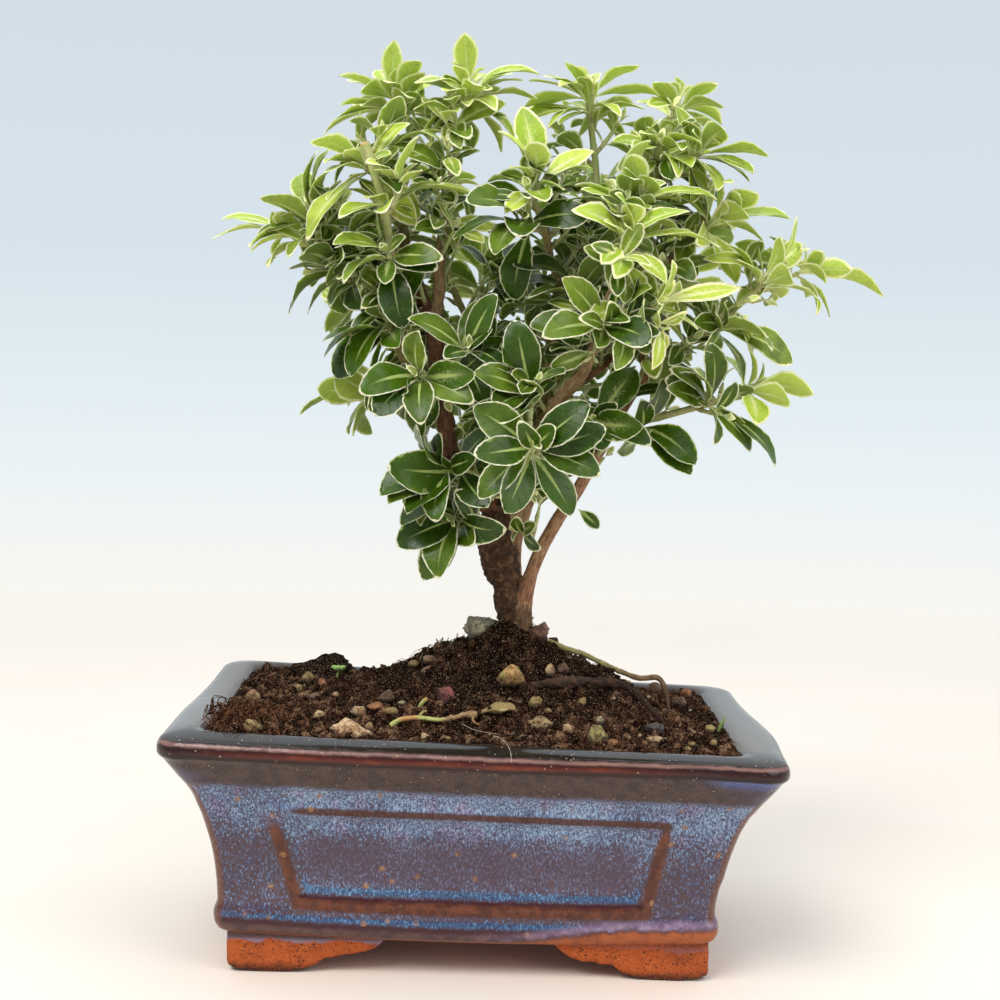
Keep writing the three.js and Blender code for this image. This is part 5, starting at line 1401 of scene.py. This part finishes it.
soil = {
    "edgeHeight": 58.0, "moundHeight": 23.0, "moundMiddle": (8, 2),
    "reachLeft": 62, "reachRight": 60, "reachDeep": 46,
    "cell": 0.85, "halfLength": 65.4, "halfDepth": 44.4,
    "clods": 1.6, "crumbs": 1.7, "steepness": 1.25,
    "crumbCount": 9900, "crumbSizes": (0.3, 1.0), "clodCount": 1500, "clodSizes": (0.7, 2.1),
    "gritCount": 420, "gritSizes": (0.2, 0.6), "openArea": 0.0116,  # square metres
    "crumbShape": (7, 9, (1, 0.75, 0.55)), "clodShape": (15, 7, (1, 0.8, 0.65)),  # corners, kinds and squash
    "mostlySmall": 2.4, "tintSpread": 0.35,
    # heaps and hollows: how high, then middle and reach across and in depth
    "heaps": [(5.6, 10, 7, -3, 8), (2.8, -27, 13, 25, 12), (2.6, 34, 11, -6, 8), (-1.9, -2, 6, -2, 9),
        (-1.3, 24, 7, 2, 6)],
    "buriedRings": [(11.3, 50), (16.4, 36), (18.2, 20.5)],  # how far in from the lip, and how high
}
fineRoots = {
    "count": 920, "across": (-62, 62), "deep": (-42, 42), "length": (1.6, 6.5), "curl": (0, 0.3), "lift": (0.2, 1.3),
    "points": 7, "foot": 0.25, "arc": 3.1, "waver": 0.25, "bounds": [(-64, 64), (-43, 43)], "girth": (0.05, 0.12),
    "taper": 0.5, "tint": (0, 1),
}
cornerTuft = {  # curls up at the left front corner and over the rim
    "count": 85, "across": (-65, -52), "deep": (-43, -20), "length": (8, 18), "curl": (0.12, 0), "lift": (1.4, 5.0),
    "points": 13, "foot": 0.2, "arc": 3.14, "waver": 0.22, "bounds": [(-66.6, 64.4), (-44, 43)],
    "girth": (0.09, 0.19), "taper": 1, "tint": (0.5, 1.1),
}


def soilBumps(spots):  # crumbly clods with narrow gaps between them
    bump = ripple(spots, 0.36, 22) + 0.45 * ripple(spots, 0.8, 23)
    gap = np.maximum(0, 0.22 - np.abs(ripple(spots, 0.26, 26))) / 0.22
    return bump - 0.8 * gap ** 2


def soilTop(x, y):  # height of the soil, as fired and tilted with the pot
    x, y = np.asarray(x, float), np.asarray(y, float)
    middleX, middleY = soil["moundMiddle"]
    reach = np.where(x > middleX, soil["reachRight"], soil["reachLeft"])
    away = np.minimum(1, np.hypot((x - middleX) / reach, (y - middleY) / soil["reachDeep"]))
    share = (0.5 * (1 + np.cos(math.pi * away))) ** soil["steepness"]
    height = soil["edgeHeight"] + soil["moundHeight"] * share + 1.6 * away
    for lift, acrossAt, wide, deepAt, deep in soil["heaps"]:
        height += lift * hill((x - acrossAt) / wide, (y - deepAt) / deep)
    spots = np.stack([x.ravel(), y.ravel(), 0 * x.ravel()], axis=1)
    rough = soil["clods"] * ripple(spots, 0.13, 21) + soil["crumbs"] * soilBumps(spots)
    margin = np.minimum((soil["halfLength"] - np.abs(x)) / 5, (soil["halfDepth"] - np.abs(y)) / 5)
    height = height + rough.reshape(x.shape) - 0.9 * (1 - np.clip(margin, 0, 1)) + backRise(x, y)
    return height * tilt(x)


def makeSoilBed():
    across = np.linspace(-soil["halfLength"], soil["halfLength"], round(2 * soil["halfLength"] / soil["cell"]) + 1)
    deep = np.linspace(-soil["halfDepth"], soil["halfDepth"], round(2 * soil["halfDepth"] / soil["cell"]) + 1)
    x, y = np.meshgrid(across, deep)
    top = np.stack([x, y, soilTop(x, y)], axis=2).reshape(-1, 3)
    index = np.arange(x.size).reshape(x.shape)
    faces = quads(index)
    border = np.concatenate([index[0, :-1], index[:-1, -1], index[-1, :0:-1], index[:0:-1, 0]])
    points, above = [top], border
    for inset, height in soil["buriedRings"]:
        ring = top[border].copy()
        ring[:, 0] *= (pot["length"] / 2 - inset) / soil["halfLength"]
        ring[:, 1] *= (pot["depth"] / 2 - inset) / soil["halfDepth"]
        ring[:, 2] = height * tilt(ring[:, 0])
        below = np.arange(len(border)) + sum(len(p) for p in points)
        points.append(ring)
        faces.extend(np.stack([above, below, np.roll(below, -1), np.roll(above, -1)], axis=1).tolist())
        above = below
    faces.append(above[::-1].tolist())
    points = np.vstack(points)
    exposed = np.zeros(len(points))
    exposed[:x.size] = 1
    flat = points * (1, 1, 0)
    # the tint follows the crumb relief, lighter on the tops and darker in the gaps, as painted light and shade, with
    # a random tone over it
    reliefShadeTint = np.clip(0.5 + 0.55 * soilBumps(flat) + 0.3 * ripple(points, 0.16, 24), 0, 1)
    return meshOf(points, faces, {"open": exposed, "tint": reliefShadeTint})


def lumpMesh(levels, seed, cuts, rough):  # a broken lump of about unit size
    ball = bmesh.new()
    bmesh.ops.create_icosphere(ball, subdivisions=levels, radius=1)
    chance = random.Random(seed)
    planes = [(Vector([chance.gauss(0, 1) for k in range(3)]).normalized(), chance.uniform(0.62, 0.85))
        for cut in range(cuts)]
    points = []
    for vert in ball.verts:
        spot = vert.co * (1 + rough * noise.noise(vert.co * 1.2 + Vector((seed * 3.1, 0, 0))))
        for facing, reach in planes:
            over = spot.dot(facing) - reach
            if over > 0:
                spot = spot - facing * over * 0.85
        coarse, fine = noise.noise(spot * 3.4 + Vector((0, seed * 1.7, 0))), noise.noise(spot * 8)
        points.append(spot * (1 + 0.3 * rough * coarse + 0.2 * rough * fine))
    faces = facesOf(ball)
    ball.free()
    return np.array(points), faces


def crumbMesh(corners, seed, squash):  # a small angular crumb
    chance, ball = random.Random(seed), bmesh.new()
    for k in range(corners):
        spot = Vector([chance.gauss(0, 1) for axis in range(3)]).normalized() * chance.uniform(0.75, 1.1)
        ball.verts.new([a * b for a, b in zip(spot, squash)])
    bmesh.ops.convex_hull(ball, input=ball.verts)
    bmesh.ops.delete(ball, geom=[v for v in ball.verts if not v.link_faces], context="VERTS")
    bmesh.ops.triangulate(ball, faces=ball.faces)
    bmesh.ops.recalc_face_normals(ball, faces=ball.faces)
    ball.verts.index_update()
    points = np.array([v.co for v in ball.verts])
    faces = facesOf(ball)
    ball.free()
    return points, faces


def scatterTool():  # strews lumps over the open part of a bed
    tool = Tool("strew", {"Lumps": "Collection", "Count": "Float", "Smallest": "Float", "Largest": "Float",
        "Seed": "Int", "Finish": "Material"})
    seed, density = tool.given("Seed"), tool.given("Count") / soil["openArea"]
    spots = tool.step("DistributePointsOnFaces", {"Mesh": tool.given("Geometry"), "Density": density, "Seed": seed,
        "Selection": tool.named("open").rise(0.8, 0.9)})
    turn = tool.node("FunctionNodeRandomValue", {"data_type": "FLOAT_VECTOR"},
        {"Min": (-3.14, -3.14, -3.14), "Max": (3.14, 3.14, 3.14), "Seed": seed + 1})
    share = tool.between(0.0, 1.0, seed + 1)
    size = tool.given("Smallest") + (tool.given("Largest") - tool.given("Smallest")) * share ** soil["mostlySmall"]
    # the bed's tint at each spot, which carries its painted relief shading, plus a random spread
    tint = tool.between(-soil["tintSpread"], soil["tintSpread"], seed + 2) + tool.named("tint")
    lumps = tool.step("CollectionInfo", {"Collection": tool.given("Lumps"), "Separate Children": True,
        "Reset Children": True})
    strewn = tool.step("InstanceOnPoints", {"Points": spots, "Instance": lumps, "Pick Instance": True,
        "Rotation": turn, "Scale": size})
    strewn = tool.keep(strewn, "tint", tint, domain="INSTANCE")
    tool.ending(strewn, ("Finish", True))
    return tool


def lumpCollection(name, corners, count, squash):
    family = bpy.data.collections.new(name)
    bpy.context.scene.collection.children.link(family)
    for seed in range(count):
        points, faces = crumbMesh(corners, seed + corners * 10, squash)
        mesh = bpy.data.meshes.new(name)
        mesh.from_pydata(points * millimetre, [], faces)
        family.objects.link(bpy.data.objects.new(name, mesh))
    return family


def strayRoots(chance, kind):  # fine roots that wander over the soil
    lines = []
    for number in range(kind["count"]):
        x, y = chance.uniform(*kind["across"]), chance.uniform(*kind["deep"])
        heading, length = chance.uniform(0, 6.28), chance.uniform(*kind["length"])
        curl = chance.gauss(*kind["curl"]) if kind["curl"][1] else kind["curl"][0]
        lift = chance.uniform(*kind["lift"])
        line = []
        for share in np.linspace(0, 1, kind["points"]):
            line.append((x, y, kind["foot"] + lift * math.sin(share * kind["arc"])))
            heading += curl + chance.gauss(0, kind["waver"])
            x += math.cos(heading) * length / (kind["points"] - 1)
            y += math.sin(heading) * length / (kind["points"] - 1)
            x, y = (min(high, max(low, place)) for place, (low, high) in zip((x, y), kind["bounds"]))
        line = np.array(line)
        line[:, 2] += soilTop(np.clip(line[:, 0], -64, 64), line[:, 1])
        line[:, 2] = np.maximum(line[:, 2], np.where(line[:, 0] < -64.5, 62.8, 0))  # up over the rim
        girth = chance.uniform(*kind["girth"]) * np.linspace(1, kind["taper"], kind["points"])
        lines.append((line, girth, chance.uniform(*kind["tint"])))
    return lines


def soilPaint(name, darkest, middle, lightest):
    paint = Finish(name)
    tint = paint.trait("tint")
    broad, fine = paint.mottle(0.16, 3), paint.mottle(2.0, 3, 0.65)
    clump, glint = paint.mottle(0.45, 4, 0.65), paint.mottle(3.6, 2)
    height = paint.axis("Z")
    # on the soil bed and its strewn lumps the tint carries painted shade in the gaps and painted light on the tops;
    # on fibres and peat it is a random tone
    tone = paint.layers(middle, ((tint + (broad - 0.5) * 0.7).rise(0.55, 1.0) * 0.8, lightest),
        (fine.rise(0.56, 0.66) * 0.6, lightest), ((1 - tint).rise(0.4, 0.7) * 0.85, darkest),
        ((1 - fine).rise(0.5, 0.62) * 0.85, darkest), ((1 - clump).rise(0.5, 0.58) * 0.8, darkest),
        # darker higher up, over the top of the mound
        (height.rise(59, 70) * 0.6, darkest), (glint.rise(0.62, 0.68) * 0.7, "c0a482"))
    paint.coat("Specular IOR Level", 0.02)
    return paint.done(tone, 0.86 + fine * 0.1, fine + paint.mottle(5.5, 2) * 0.4, 0.3, 1.0)


def stonePaint(name, ground, dark, light, stain=None):
    paint = Finish(name)
    tint = paint.trait("tint")
    cloud, grain = paint.mottle(0.5, 4, 0.6), paint.mottle(2.4, 4, 0.65)
    tone = paint.layers(ground, (cloud.rise(0.42, 0.62) * 0.8, light), ((1 - cloud).rise(0.5, 0.66) * 0.7, dark),
        (grain.rise(0.56, 0.7) * 0.6, light), ((1 - grain).rise(0.56, 0.68) * 0.8, dark),
        (tint.rise(0.5, 1.0) * 0.35, dark))
    if stain:
        tone = paint.mix(paint.mottle(0.36, 2).rise(0.5, 0.6) * 0.75, tone, stain)
    crust = paint.cells(0.8).rise(0.1, 0.35)
    smear = paint.mottle(0.75, 4, 0.65)
    dirt = (1 - (paint.trait("level") + (smear - 0.5) * 3.2).rise(-0.5, 0.25)) * 0.9 + (1 - crust) * 0.5
    tone = paint.mix((dirt + smear.rise(0.53, 0.64) * 0.6).atMost(0.92), tone, "2f1d14")
    return paint.done(tone, 0.7 + grain * 0.2, grain + cloud * 0.8 - (1 - crust) * 0.4, 0.4, 1.0)


# the named stones: middle of each, its size and turn, then its colours: ground, dark, light and stain
stones = {
    "stone_grey": ((1.2, 1.5, 80.7), (11, 8, 8.4), 0.2, ("8a7f66", "4d4534", "b8b094", "6c6b48")),
    "stone_pink": ((16.8, -4.5, 81.0), (5.4, 5, 5.4), 1.1, ("73513f", "493026", "8f6a58", None)),
    "pebble_ochre": ((9, -19, 70.4), (6.8, 6.2, 7), 0.2, ("a87c44", "6e4a26", "c9a468", "6c7a3c")),
    "pebble_long": ((16.4, -30.3, 61.4), (7.4, 5, 3.8), 0.3, ("8e7048", "5f4a30", "ae9468", None)),
    "pebble_olive": ((30.3, -35, 58.9), (5.8, 4.8, 5.2), 0.9, ("928248", "5e5430", "b3a56a", None)),
    "pebble_dark": ((46.1, -24.1, 58.6), (4.6, 3.4, 3.2), 0.5, ("4a423c", "2c2623", "6b625a", None)),
    "pebble_tan": ((-30.2, -39.6, 60.4), (9.8, 6, 5), 0.1, ("c0966a", "8a6244", "e2c49e", None)),
    "lava_lump": ((-7.2, -20.8, 67.2), (5.4, 5, 4.8), 0.7, ("63332e", "3a1c1a", "8a4e44", None)),
}
# the kinds of loose pebble, the last one a lump of peat: slot, finish, and its colours
looseKinds = [
    ("pebble_dark", stonePaint, "684a34", "45301f", "86684e"),
    ("pebble_tan", stonePaint, "a9845c", "7d5c3e", "cbb088"),
    ("pebble_olive", stonePaint, "86693e", "584427", "a8925e"),
    ("pebble_ochre", stonePaint, "8f5c36", "6e4020", "b07c50"),
    ("pebble_olive", stonePaint, "968465", "64563f", "b9ae8c"),
    ("pebble_dark", soilPaint, "050302", "120b08", "2c1d15"),
]
# each loose pebble: where, width, height share and kind
pebbles = [
    (19.3, -13.7, 3.1, 1.4, 1), (23, -12, 3.5, 1, 0), (15.6, -21.7, 3.8, 1.1, 2), (27.6, -19.3, 2.7, 1.1, 2),
    (32, -24.5, 3.1, 0.8, 4), (23.3, -30.7, 3.6, 0.9, 1), (34.8, -35.4, 4, 0.65, 3), (36.9, -11, 1.8, 1.2, 0),
    (45.2, -33.5, 4, 0.65, 1), (42.1, -26.4, 1.6, 0.8, 1), (54.1, -14.1, 2.3, 1, 1), (56.5, -16.6, 3.2, 0.8, 1),
    (51.1, 29.9, 5.2, 1, 0), (60, 29.2, 3.6, 1.2, 3), (56.3, 12.2, 4, 0.8, 0), (18.7, -24.3, 2.1, 0.8, 2),
    (40.9, -0.4, 1.6, 0.8, 4), (8.9, -22.2, 1.7, 0.8, 1), (61.6, -13.2, 3.5, 0.7, 2), (60.5, -28.8, 2.3, 0.9, 2),
    (61.5, -35.8, 1.4, 0.8, 1), (54.4, -34.2, 1.8, 0.8, 2), (-47.6, 21.5, 4.4, 0.8, 2), (-50.3, 15.6, 4.8, 0.6, 2),
    (-58.9, -7.5, 3.8, 1.1, 1), (-43.2, 16.2, 3.4, 0.8, 3), (-37.4, -3.1, 2.2, 0.9, 1), (-39.4, -25.5, 3, 1.2, 1),
    (-29.8, -20.4, 4.9, 0.7, 1), (-25.6, -19.5, 4.7, 0.6, 3), (-22.8, -17.8, 4.6, 0.8, 0),
    (-21.2, -22.9, 4.2, 0.8, 2), (-25.9, -36.8, 2.6, 1.2, 2), (-12.3, -6.8, 4.4, 0.6, 0), (-12.7, -9, 3.8, 0.7, 0),
    (-16.6, -4.1, 3.8, 0.6, 2), (-18.7, -20.7, 2.1, 0.8, 4), (-54.5, -40, 4.8, 0.8, 2), (-11.9, -41.5, 2.5, 0.8, 1),
    (-6.7, -42, 3.4, 0.5, 2), (-1.3, -41.5, 2, 0.9, 2), (-44.2, 36.5, 18.5, 0.52, 5), (36, 16, 6.2, 0.5, 4),
    (-44, 5, 4, 0.6, 0), (-33, -32, 2.4, 0.9, 0), (12, -36, 2.4, 0.8, 0), (48, 22, 3.6, 0.8, 1), (-8, -34, 2, 0.9, 4),
]


def shapedLump(spot, size, turn, seed, levels, rough=0.34, cuts=9):  # points, faces and how high each point is on it
    points, faces = lumpMesh(levels, seed, cuts, rough)
    level = points[:, 2].copy()
    points = points * np.array(size) / 2 * 1.06
    c, s = math.cos(turn), math.sin(turn)
    points[:, :2] = points[:, :2] @ np.array([[c, s], [-s, c]])
    return points + np.array(spot), faces, level


strayPebbles = {"perKind": 7, "across": (-60, 60), "deep": (-41, 41), "width": (1.0, 2.2), "tall": 0.8}


def makePebbles(chance, kind):  # all loose pebbles of one kind as one mesh
    points, faces, tints, levels = [], [], [], []
    rows = [row for row in pebbles if row[4] == kind]
    for stray in range(strayPebbles["perKind"]):
        x, y, width = (chance.uniform(*strayPebbles[key]) for key in ("across", "deep", "width"))
        rows.append((x, y, width, strayPebbles["tall"], kind))
    for number, (x, y, width, tall, _) in enumerate(rows):
        size = (width, width * chance.uniform(0.7, 0.95), width * tall)
        top = float(soilTop(x, y))
        form = (4, 0.6, 0) if width > 10 else (3 if width > 2.7 else 2,)  # levels, roughness and cuts
        spot, turn = (x, y, top + size[2] * 0.15), chance.uniform(0, 3)
        lump, sides, level = shapedLump(spot, size, turn, number + kind * 20, *form)
        faces.extend([[v + len(points) for v in side] for side in sides])
        points.extend(lump)
        tints.extend([chance.random()] * len(lump))
        levels.extend(level)
    return meshOf(points, faces, {"tint": tints, "level": levels})


def makeSoil():
    chance = random.Random(5)
    bed, strew = makeSoilBed(), scatterTool()
    crumbs, clods = (lumpCollection(kind, *soil[kind + "Shape"]) for kind in ("crumb", "clod"))
    dark = soilPaint("peat crumbs", "130906", "44291d", "9a765a")
    fibre = soilPaint("root fibre", "241009", "5a3324", "9a6c50")
    grit = soilPaint("tan grit", "6a5436", "8f7650", "b8a078")
    jobs = (("crumb", crumbs, 3, dark), ("clod", clods, 8, dark), ("grit", crumbs, 15, grit))
    for kind, family, seed, finish in jobs:
        smallest, largest = soil[kind + "Sizes"]
        mesh = strew.use(bed.copy(), {"Lumps": family, "Count": float(soil[kind + "Count"]), "Smallest": smallest,
            "Largest": largest, "Seed": seed, "Finish": finish})
        asPiece("soil_grit" if kind == "grit" else f"soil_{kind}s", mesh, ["soil"])
    asPiece("soil_bed", bed, ["soil"], [dark])
    lines = strayRoots(chance, fineRoots) + strayRoots(chance, cornerTuft)
    asPiece("soil_fibres", swept(lines, 3, fibre), ["soil"])
    for family in (crumbs, clods):
        for thing in list(family.objects):
            bpy.data.objects.remove(thing)
        bpy.data.collections.remove(family)
    print("the soil, its crumbs and its fibres are laid")


def makeStones():
    for number, (name, (spot, size, turn, colours)) in enumerate(stones.items()):
        x, y, up = spot
        if up < 75:  # the ones that lie on the slopes
            up = float(soilTop(x, y)) + size[2] * 0.2
        points, faces, level = shapedLump((x, y, up), size, turn, number + 40, 4, 0.5 if up > 75 else 0.42)
        mesh = meshOf(points, faces, {"tint": np.zeros(len(points)), "level": level})
        slotName = {"lava_lump": "lava", "pebble_long": "pebble_olive"}.get(name, name)
        asPiece(name + "_stone", mesh, [name], [stonePaint(name, *colours)])
    chance = random.Random(9)
    for kind, (slotName, makePaint, *colours) in enumerate(looseKinds):
        finish = makePaint("dark peat lump" if makePaint is soilPaint else f"loose pebble {kind}", *colours)
        asPiece(f"loose_pebbles_{kind + 1}", makePebbles(chance, kind), [], [finish])
    print("the stones and pebbles are laid")


makeSoil()
makeStones()


litter = {
    "twigPath": [(-21, -30.4, 60.6), (-18.6, -29.8, 62), (-14, -29.6, 62.6), (-9, -30.4, 62.3), (-5, -30, 62.9),
        (-2.6, -29.4, 63.6), (0.6, -29, 63.6)],
    "twigGirth": [0.62, 0.66, 0.6, 0.58, 0.6, 0.62, 0.8],
    "dryLeafPath": [(1.8, -29.4, 64.2), (5.2, -29, 64.6), (10.2, -27.8, 65.4)],
    "dryLeafHalfWidth": 2.5,
    "seedling": (-39.6, 21), "grass": (65.4, -13.7), "mossTips": 22,
    "hairPaths": [
        [(4, -41, 59.4), (5.4, -43.4, 61.2), (7.4, -45, 60.4), (8.2, -48, 60.1), (8.8, -51, 59.6), (9.1, -53, 58.6),
            (9.2, -53.9, 57.2)],
        [(40, -6, 60), (42, -9, 59.4), (45, -10, 58.6), (49, -12, 58.6)],
        [(-3, -33, 62), (0, -36, 61.2), (3, -37, 60.8), (8, -38, 60.4)],
    ],
}


def makeTwig():
    line = easedRows(litter["twigPath"], 0.5)
    line[1:, 2] = np.maximum(line[1:, 2], soilTop(line[1:, 0], line[1:, 1]) + 0.4)
    distance = alongLine(line)
    girth = np.interp(distance, np.linspace(0, distance[-1], 7), litter["twigGirth"])
    girth += 0.28 * hill((distance - distance[-1] + 1.2) / 1.3) + 0.1 * ripple(line, 0.9, 31)
    hanging = easedRows([line[-1] - (0.6, 0, 0), line[-1] + (-1.0, -1.6, -0.6), line[-1] + (-0.6, -3.4, -1.2),
        line[-1] + (0.8, -5.2, -1.6)], 0.4)
    side = easedRows([line[14], line[14] + (0.8, 0.8, 1.2), line[14] + (2.0, 1.0, 1.7)], 0.4)
    stub = easedRows([(-14.2, -22.6, -0.4), (-13.4, -22.8, 1.0), (-12.2, -23, 2.1)], 0.4)
    stub[:, 2] += float(soilTop(-14.2, -22.6))
    lines = [(line, girth, 0.0), (stub, np.full(len(stub), 0.5), 0.0),
        (hanging, np.linspace(0.42, 0.14, len(hanging)), 0.9), (side, np.linspace(0.35, 0.2, len(side)), 0.4)]
    mesh = swept(lines, 12)
    points = pointsOf(mesh)
    movePoints(mesh, points + normalsOf(mesh) * (0.09 * ripple(points, 1.6, 32))[:, None])
    return mesh


def twigPaint():
    paint = Finish("lying twig")
    run, tint = paint.trait("run"), paint.trait("tint")
    streak = paint.mottle(1.5, 3, 0.6, paint.stretched((0.5, 1.6, 1.6)))
    tone = paint.layers("a9ac5c", (run.rise(1.5, 4) * (1 - run.rise(6, 9)), "b9824a"), (run.rise(12, 15), "8c6a44"),
        (streak.rise(0.5, 0.66) * 0.6, "c9c08a"), ((1 - streak).rise(0.55, 0.7) * 0.7, "6b5a34"),
        (tint * 0.8, "7a5236"))
    return paint.done(tone, 0.6 + streak * 0.2, streak, 0.2, 0.9)


def makeDryLeaf():  # a rolled dead leaf
    line = easedRows(litter["dryLeafPath"], 0.35)
    line[:, 2] = np.maximum(line[:, 2], soilTop(line[:, 0], line[:, 1]).max() + 0.9)
    distance = alongLine(line) / alongLine(line)[-1]
    across, along = np.meshgrid(np.linspace(-1, 1, 9), distance)
    half = litter["dryLeafHalfWidth"] * np.sin(math.pi * np.clip(along * 0.92 + 0.06, 0, 1)) ** 0.7
    curl = 1.15 * across + 0.5 * along
    lift = half * (1 - np.cos(curl)) - 0.5 + 0.22 * np.sin(along * 12 + across * 3)
    sheet = line[:, None] + np.stack([0.1 * across, half * np.sin(curl), lift], axis=2)
    points = np.concatenate([(sheet + (0, 0, layer)).reshape(-1, 3) for layer in (0.13, -0.13)])
    traits = {"along": np.tile(along.ravel(), 2), "across": np.tile(across.ravel(), 2)}
    index = np.arange(along.size).reshape(along.shape)
    rim = np.concatenate([index[0], index[1:, -1], index[-1, -2::-1], index[-2:0:-1, 0]])
    border = np.stack([rim, np.roll(rim, -1)])
    faces = [face[::-1] for face in quads(index)] + quads(index + along.size)
    faces += np.vstack([border, border[::-1] + along.size]).T.tolist()
    mesh = meshOf(points, faces, traits)
    shell = bmesh.new()
    shell.from_mesh(mesh)
    bmesh.ops.recalc_face_normals(shell, faces=shell.faces)
    shell.to_mesh(mesh)
    shell.free()
    return mesh


def dryLeafPaint():
    paint = Finish("dry leaf")
    across = paint.trait("across")
    streak = paint.mottle(1.2, 4, 0.6)
    tone = paint.layers("96804f", (streak.rise(0.42, 0.6) * 0.7, "7a6440"), (streak.rise(0.58, 0.7) * 0.7, "bda77a"),
        ((1 - abs(across).rise(0.05, 0.16)) * 0.7, "c4b084"))
    return paint.done(tone, 0.7 + streak * 0.15, streak, 0.25, 0.9)


def makeSprouts():  # a seedling at the back left, a blade of grass at the right, and moss
    x, y = litter["seedling"]
    foot = float(soilTop(x, y))
    finished = []

    def grow(points, step, tint, width=0):
        line = easedRows(points, step)
        bulge = width * np.sin(np.pi * np.linspace(0, 1, len(line))) ** 0.8 + 0.08
        finished.append((line, bulge if width else np.linspace(0.3, 0.16, len(line)), tint))

    grow([(x, y, foot - 1), (x + 0.3, y, foot + 1.4), (x + 0.6, y - 0.3, foot + 2.6)], 0.6, 0.25)
    for turn in (0.4, 1.7, 2.8, 4.6):
        tip = Vector((math.cos(turn), math.sin(turn) * 0.6, 0.5)) * 2.3
        start = Vector((x + 0.6, y - 0.3, foot + 2.4))
        grow([start, start + tip * 0.5 + Vector((0, 0, 0.4)), start + tip], 0.4, 0.3, 0.62)
    x, y = litter["grass"]
    grow([(x - 2, y, 57), (x - 1.2, y - 1, 59.5), (x - 0.2, y - 2.4, 62.2)], 0.5, 0.35, 0.34)
    chance = random.Random(21)
    for number in range(litter["mossTips"]):  # on the crest of the mound
        x, y = chance.uniform(-16, 22), chance.uniform(-4, 8)
        level = float(soilTop(x, y))
        lean = chance.uniform(-1, 1)
        grow([(x, y, level - 0.3), (x + lean * 0.5, y, level + 0.8),
            (x + lean * 1.4, y - 0.4, level + chance.uniform(1.0, 2.2))], 0.4, 1.0)
    return swept(finished, 6)


def makeRootHairs():  # pale hairs that hang over the front rim and from the mound
    lines = [easedRows(path, 0.5) for path in litter["hairPaths"]]
    return swept([(line, np.full(len(line), 0.06), 0.5) for line in lines], 5)


def sproutPaint(name, base, dark, light):
    paint = Finish(name)
    tint = paint.trait("tint")
    fine = paint.mottle(2.0, 3)
    tone = paint.layers(base, (fine.rise(0.5, 0.66) * 0.6, light), (tint.rise(0.6, 0.9) * 0.9, dark))
    return paint.done(tone, 0.55 + fine * 0.2, fine, 0.08, 0.8)


asPiece("twig_on_soil", makeTwig(), ["lying_twig"], [twigPaint()])
asPiece("rolled_dry_leaf", makeDryLeaf(), ["dry_leaf"], [dryLeafPaint()])
asPiece("sprouts", makeSprouts(), [], [sproutPaint("sprout green", "8fae5a", "3a3a22", "b8cf86")])
asPiece("root_hairs", makeRootHairs(), [], [sproutPaint("root hair", "b8a88f", "8f8068", "d8cdb8")])
print("the twig, dry leaf, sprouts and root hairs are laid")
